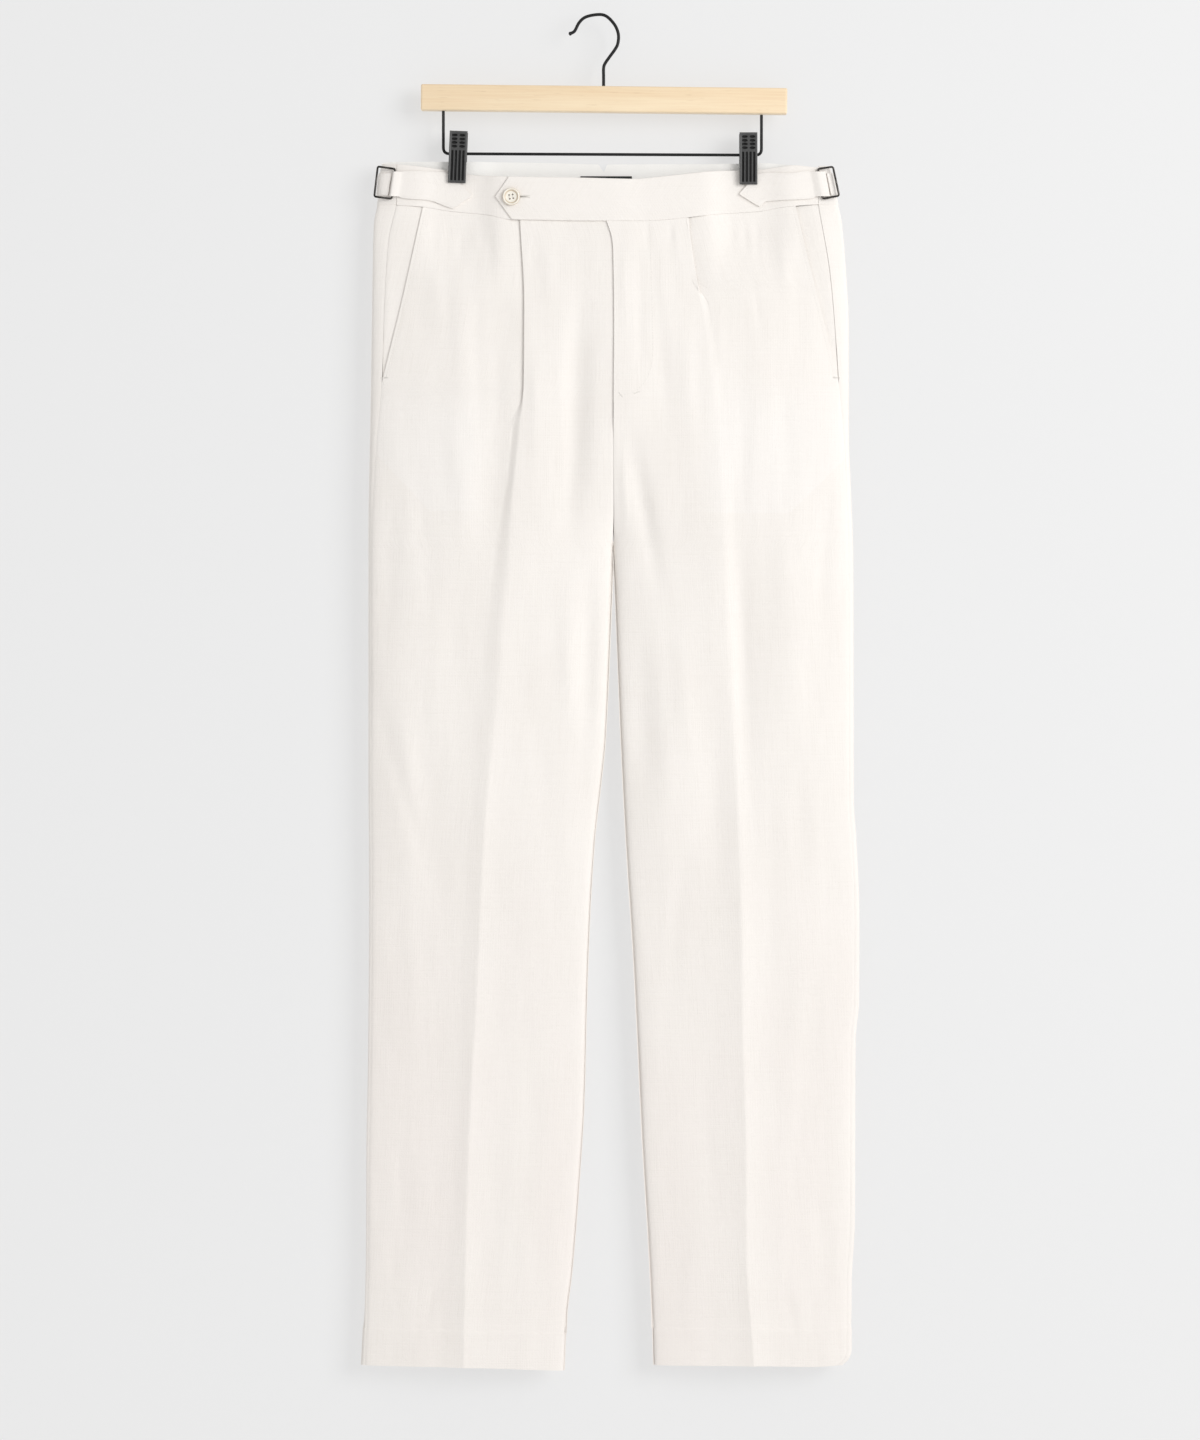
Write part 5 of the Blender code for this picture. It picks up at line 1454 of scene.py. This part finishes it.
def make_pocket_bag(half, finish):
    rows = []
    for level in BAG_LEVELS:
        edge = half.mouth(level) if level <= MOUTH_END else half.seam(level)
        cut = BAG_DIAGONAL * max(0.0, level - BAG_CORNER) / (BAG_BOTTOM - BAG_CORNER)
        inner, outer = float(BAG_INNER[half.name](level)), float(edge) - BAG_SIDE_ROOM - cut
        out = np.linspace(inner, outer, 40)
        y = face_y(half, "front", out, level, valley_dip(half, out, level))
        wave = BAG_WAVE * soft_noise(out / 26.0 + 90.0, level / 70.0, 31)
        rows.append(row_in_space(half, out, y, level, wave - BAG_SUNK))
    return cloth_piece(f"pocket_bag_{half.name}_cloth", finish, half, rows, BAG_CLOTH)


bags = [make_pocket_bag(half, POCKETING) for half in HALVES]
for bag in bags:
    dress(bag, bag.name.removesuffix("_cloth"))
print("pocket bags:", [bag.name for bag in bags])

# %% [markdown]
# ## Sewing
#
# A stitch is a short swelling of thread that dips into the cloth at both ends. It is made once, as
# rings of points round a short axis, and laid along a path on the cloth as often as the machine
# would have done, all in one mesh. That keeps 700 stitches cheap, where 700 curves would not be.

# %% Rows of stitches
STITCH_SIDES, STITCH_RINGS = 6, 6
THREAD_RADIUS = 0.17
STITCH_LENGTH, STITCH_PITCH = 2.2, 2.7
FINE_STEP = 0.1
TACK_PITCH = 0.36


def thread_mesh(name, finish, starts, ends, normals, radius=THREAD_RADIUS):
    """Stitches from their ends in metres, each bulging out of the cloth in the middle."""
    starts, ends, normals = (np.asarray(value, float) for value in (starts, ends, normals))
    along = ends - starts
    side = np.cross(along, normals)
    side /= np.linalg.norm(side, axis=1, keepdims=True)
    share = np.linspace(0.0, 1.0, STITCH_RINGS)[None, :, None]
    girth = radius * MM * np.sqrt(np.maximum(1.0 - (2 * share - 1) ** 4, 0.04))
    rise = radius * MM * (1.4 * np.sin(math.pi * share) - 0.5)
    turn = (np.arange(STITCH_SIDES) / STITCH_SIDES * math.tau)[:, None]
    centre = starts[:, None] + along[:, None] * share + normals[:, None] * rise
    ring = np.cos(turn) * side[:, None, None] + np.sin(turn) * normals[:, None, None]
    points = (centre[:, :, None] + ring * girth[..., None]).reshape(-1, 3)
    one = np.arange(STITCH_RINGS * STITCH_SIDES).reshape(STITCH_RINGS, STITCH_SIDES)
    sides = quads(np.column_stack((one, one[:, 0])))
    caps = np.stack((one[0][::-1], one[-1]))
    offsets = np.arange(len(starts))[:, None, None] * one.size
    faces = [face for part in (sides, caps)
             for face in (part[None] + offsets).reshape(-1, part.shape[1]).tolist()]
    data = bpy.data.meshes.new(name)
    data.from_pydata(points, [], faces)
    data.shade_smooth()
    piece = add_object(name, data, finish)
    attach(piece, BODY)
    return piece


def on_front(half, out, drop, lift=0.0):
    """Points on the finished front in metres, and the directions out of it."""
    return above_front(half, out, drop, fly_lap(half, out, drop) - RECESS + lift)


def resampled(places, pitch):
    """Even steps along a path of (out, drop)."""
    length = running_length(places)
    at = np.arange(0.0, length[-1], pitch)
    return np.stack([np.interp(at, length, column) for column in places.T], axis=1)


def stitched_line(half, places, lift=0.0):
    """Ends and directions of the stitches along a path of (out, drop) on a front."""
    fine = resampled(places, FINE_STEP)
    count = len(resampled(places, STITCH_PITCH))
    reach = int(STITCH_LENGTH / FINE_STEP)
    index = (np.arange(count) * STITCH_PITCH / FINE_STEP).astype(int)
    index = np.minimum(index, len(fine) - reach - 1)
    starts, normals = on_front(half, *fine[index].T, lift)
    return starts, on_front(half, *fine[index + reach].T, lift)[0], normals


def bar_tack(half, centre, size, turn, lift=0.0):
    """Close zigzag stitches that strengthen one spot: size is (along, across)."""
    count = int(size[0] / TACK_PITCH)
    along = (np.arange(count) / (count - 1) - 0.5) * size[0]
    cosine, sine = math.cos(turn), math.sin(turn)
    ends = []
    for side, shift in ((-0.5, 0.0), (0.5, TACK_PITCH / 2)):
        across, shifted = side * size[1], along + shift
        ends.append((centre[0] + shifted * cosine - across * sine,
                     centre[1] + shifted * sine + across * cosine))
    starts, normals = on_front(half, *ends[0], lift)
    return starts, on_front(half, *ends[1], lift)[0], normals


TOPSTITCH_SUNK, FLY_STITCH_SUNK = -0.22, -0.05     # the stitches draw the cloth in
TACK_SIZE = (6.4, 1.7)
# The fly's row of stitches, on the wearer's left front: (out, drop)
FLY_STITCHES = ((51.6, 203), (53.0, 250), (54.4, 300), (54.6, 326), (52.8, 343), (47.6, 356),
                (40.0, 364.5), (30.5, 369.0), (20.0, 371.0))
FLY_TACKS = (((23.4, 369.6), 0.9), ((39.2, 367.6), -0.35))     # place, turn
sewing = []
for half in HALVES:
    drops = np.linspace(float(FRONT_SEAM(half.sign * half.mouth(190.0))) + 2.0, MOUTH_END - 4.0, 160)
    mouth_line = np.stack((half.mouth(drops) - TOPSTITCH_IN, drops), axis=1)
    stitches = stitched_line(half, mouth_line, TOPSTITCH_SUNK)
    sewing.append(thread_mesh(f"topstitch_{half.name}", THREAD, *stitches))
    end = (float(half.mouth(352.0)) - 1.4, 352.5)
    tack = bar_tack(half, end, TACK_SIZE, 0.06, -0.1)
    sewing.append(thread_mesh(f"mouth_tack_{half.name}", THREAD, *tack))
stitches = stitched_line(LEFT, smooth_path(FLY_STITCHES, 12), FLY_STITCH_SUNK)
sewing.append(thread_mesh("fly_stitches", THREAD, *stitches))
for n, (place, turn) in enumerate(FLY_TACKS):
    tack = bar_tack(LEFT, place, (6.0, 1.6), turn, -0.08)
    sewing.append(thread_mesh(f"fly_tack_{n}", THREAD, *tack))
print("rows of stitches:", len(sewing))

# %% [markdown]
# ## Buttonhole and button thread
#
# The hole in the extension is a slit, worked round with close purl stitches, and half of it shows
# beside the button. The thread that holds the button comes up through its four holes.

# %% Buttonhole
SLIT_X = (-88.0, -64.5)
SLIT_DROP = 176.8
SLIT_HALF = 0.18
PURL_PITCH, PURL_LENGTH, PURL_RADIUS = 0.45, 1.3, 0.2
STRANDS = (-0.28, 0.0, 0.28)


def make_buttonhole():
    x = np.arange(SLIT_X[0], SLIT_X[1], PURL_PITCH)
    near, normal = above_front(RIGHT, -x, SLIT_DROP, BAND_LAP + 0.05)
    up = np.array((0.0, 0.0, MM))
    inner, outer = SLIT_HALF, SLIT_HALF + PURL_LENGTH
    starts, ends = (np.concatenate((near - up * reach, near + up * reach))
                    for reach in (inner, outer))
    purl = thread_mesh("buttonhole_purl", THREAD, starts, ends, np.tile(normal, (2, 1)), PURL_RADIUS)
    # painted shadow: the slit is a thin dark tube of the slit_shadow finish
    slit = thread_mesh("buttonhole_slit", SLIT_SHADOW, near[:1], near[-1:], normal[:1], SLIT_HALF)
    return purl, slit


def make_button_thread():
    """Two bars of thread between the holes, seen in the button's dished middle."""
    seat = seat_on_band(*BUTTON_PLACE, BUTTON_HEIGHT)
    turned = seat @ Matrix.Rotation(BUTTON_TURN, 4, "Z")
    starts, ends = ([turned @ (Vector((side * BUTTON_HOLES + strand, end * BUTTON_HOLES, 1.3)) * MM)
                     for side in (-1, 1) for strand in STRANDS] for end in (-1, 1))
    outwards = [seat.to_3x3() @ Vector((0.0, 0.0, 1.0))] * len(starts)
    return thread_mesh("button_thread", THREAD, starts, ends, outwards, 0.16)


sewing += [*make_buttonhole(), make_button_thread()]
print("thread pieces in all:", len(sewing))

# %% [markdown]
# ## Fitting the pieces to the frame
#
# The hard pieces take the places of their solids too. For each cloth piece, `hangs_from` gives the
# waistband it is sewn to or the clips it hangs from; the loop below only calls it.

# %% Replace the solids
REPLACED = {
    "button_turned": ("button", "horn"), "label_tape": ("label", "black_tape"),
    "hanger_bar_wood": ("hanger_bar", "maple"), "hook_wire": ("hook", "black_steel"),
    "hanger_wire_bent": ("hanger_wire", "black_steel"),
    **{f"buckle_{half.name}_wire": (f"buckle_{half.name}", "nickel") for half in HALVES},
    **{f"clip_{face}_{side}_moulded": (f"clip_{face}_{side}", "black_plastic")
       for face in ("front", "back") for side in CLIP_TOPS},
}
for name, (node, slot) in REPLACED.items():
    dress(bpy.data.objects[name], node)
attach(holes, BODY)
print("solids replaced by finer pieces:", len(REPLACED) + len(CLOTH_PIECES))

SEWN_ON = {
    **dict.fromkeys(("front", "pocket_facing", "pocket_bag", "side_strap"), "waistband_front"),
    **dict.fromkeys(("back", "strap_anchor"), "waistband_back"),
}
CLIPS = [f"clip_{face}_{side}" for side in CLIP_TOPS for face in ("front", "back")]


def hangs_from(name):
    if name == "label_tape":
        return ["waistband_back_left_cloth"]
    kind, side = name.removesuffix("_cloth").rsplit("_", 1)
    return [f"{SEWN_ON[kind]}_{side}_cloth"] if kind in SEWN_ON else CLIPS


for piece in (*CLOTH_PIECES, *bags, label):
    hangs_from(piece.name)

# %% [markdown]
# ## Studio
#
# The photograph is a product picture: a white, evenly lit studio with a large soft light to the
# right and a little above, whose light leaves the garment's left edges and creases faintly grey.
# Behind is a light grey wall, which is one-sided so that it doesn't hide the garment from behind,
# and below a pale floor.

# %% Floor and wall
WALL_GREY, WALL_GLOW = 0.30, 0.53
WALL_PLACE = (0.0, 0.023, -0.6)
WALL_SIZE = 1.7            # a little wider than the photograph's frame
FLOOR_TONE, FLOOR_SIZE, FLOOR_Z = 0.86, 8.0, -1.45


def stage_finish(name, tone, glow=0.0, one_sided=False):
    made, shader, place = new_finish(name, 0.95, Specular_IOR_Level=0.1, Emission_Color=grey(1.0),
                                     Emission_Strength=glow)
    give(shader, "Base Color", place.noise(1.2, detail=2.0).mix(grey(tone * 0.99), grey(tone * 1.01)))
    if one_sided:
        tree = made.node_tree
        behind = place.node("ShaderNodeNewGeometry", output="Backfacing")
        clear = tree.nodes.new("ShaderNodeBsdfTransparent")
        mixed = tree.nodes.new("ShaderNodeMixShader")
        tree.links.new(behind.socket, mixed.inputs[0])
        tree.links.new(shader.outputs[0], mixed.inputs[1])
        tree.links.new(clear.outputs[0], mixed.inputs[2])
        tree.links.new(mixed.outputs[0], tree.nodes["Material Output"].inputs["Surface"])
    return made


def stage_plane(name, finish, size, location, rotation):
    shape = bmesh.new()
    bmesh.ops.create_grid(shape, x_segments=1, y_segments=1, size=size / 2)
    plane = mesh_piece(name, finish, shape)
    plane.location = location
    plane.rotation_euler = rotation
    return plane


floor = stage_plane("studio_floor", stage_finish("studio_floor", FLOOR_TONE), FLOOR_SIZE,
                    (0.0, 0.0, FLOOR_Z), (0.0, 0.0, 0.0))
wall = stage_plane("studio_wall", stage_finish("studio_wall", WALL_GREY, WALL_GLOW, True), WALL_SIZE,
                   WALL_PLACE, (math.pi / 2, 0.0, 0.0))
# The light behind passes the wall, which the photograph's view never shows
wall.visible_shadow = wall.visible_diffuse = False
print("stage:", floor.name, wall.name)

# %% Lights
AIM = Vector((0.0, 0.0, -0.6))
WORLD_LIGHT = 0.65
LIGHTS = (
    # name, size, watts, place
    ("key", 2.4, 108.0, (3.0, -3.3, 0.55)),
    ("back_fill", 2.0, 45.0, (-2.4, 2.6, 0.3)),
)
for name, size, watts, place in LIGHTS:
    data = bpy.data.lights.new(name, "AREA")
    data.size, data.energy = size, watts
    light = bpy.data.objects.new(name, data)
    light.location = place
    light.rotation_euler = (AIM - Vector(place)).to_track_quat("-Z", "Y").to_euler()
    bpy.context.scene.collection.objects.link(light)
world = bpy.data.worlds.new("studio")
world.use_nodes = True
background = world.node_tree.nodes["Background"]
background.inputs["Color"].default_value = grey(1.0)
background.inputs["Strength"].default_value = WORLD_LIGHT
bpy.context.scene.world = world
bpy.context.scene.view_settings.view_transform = "Standard"
print("lights:", [row[0] for row in LIGHTS])
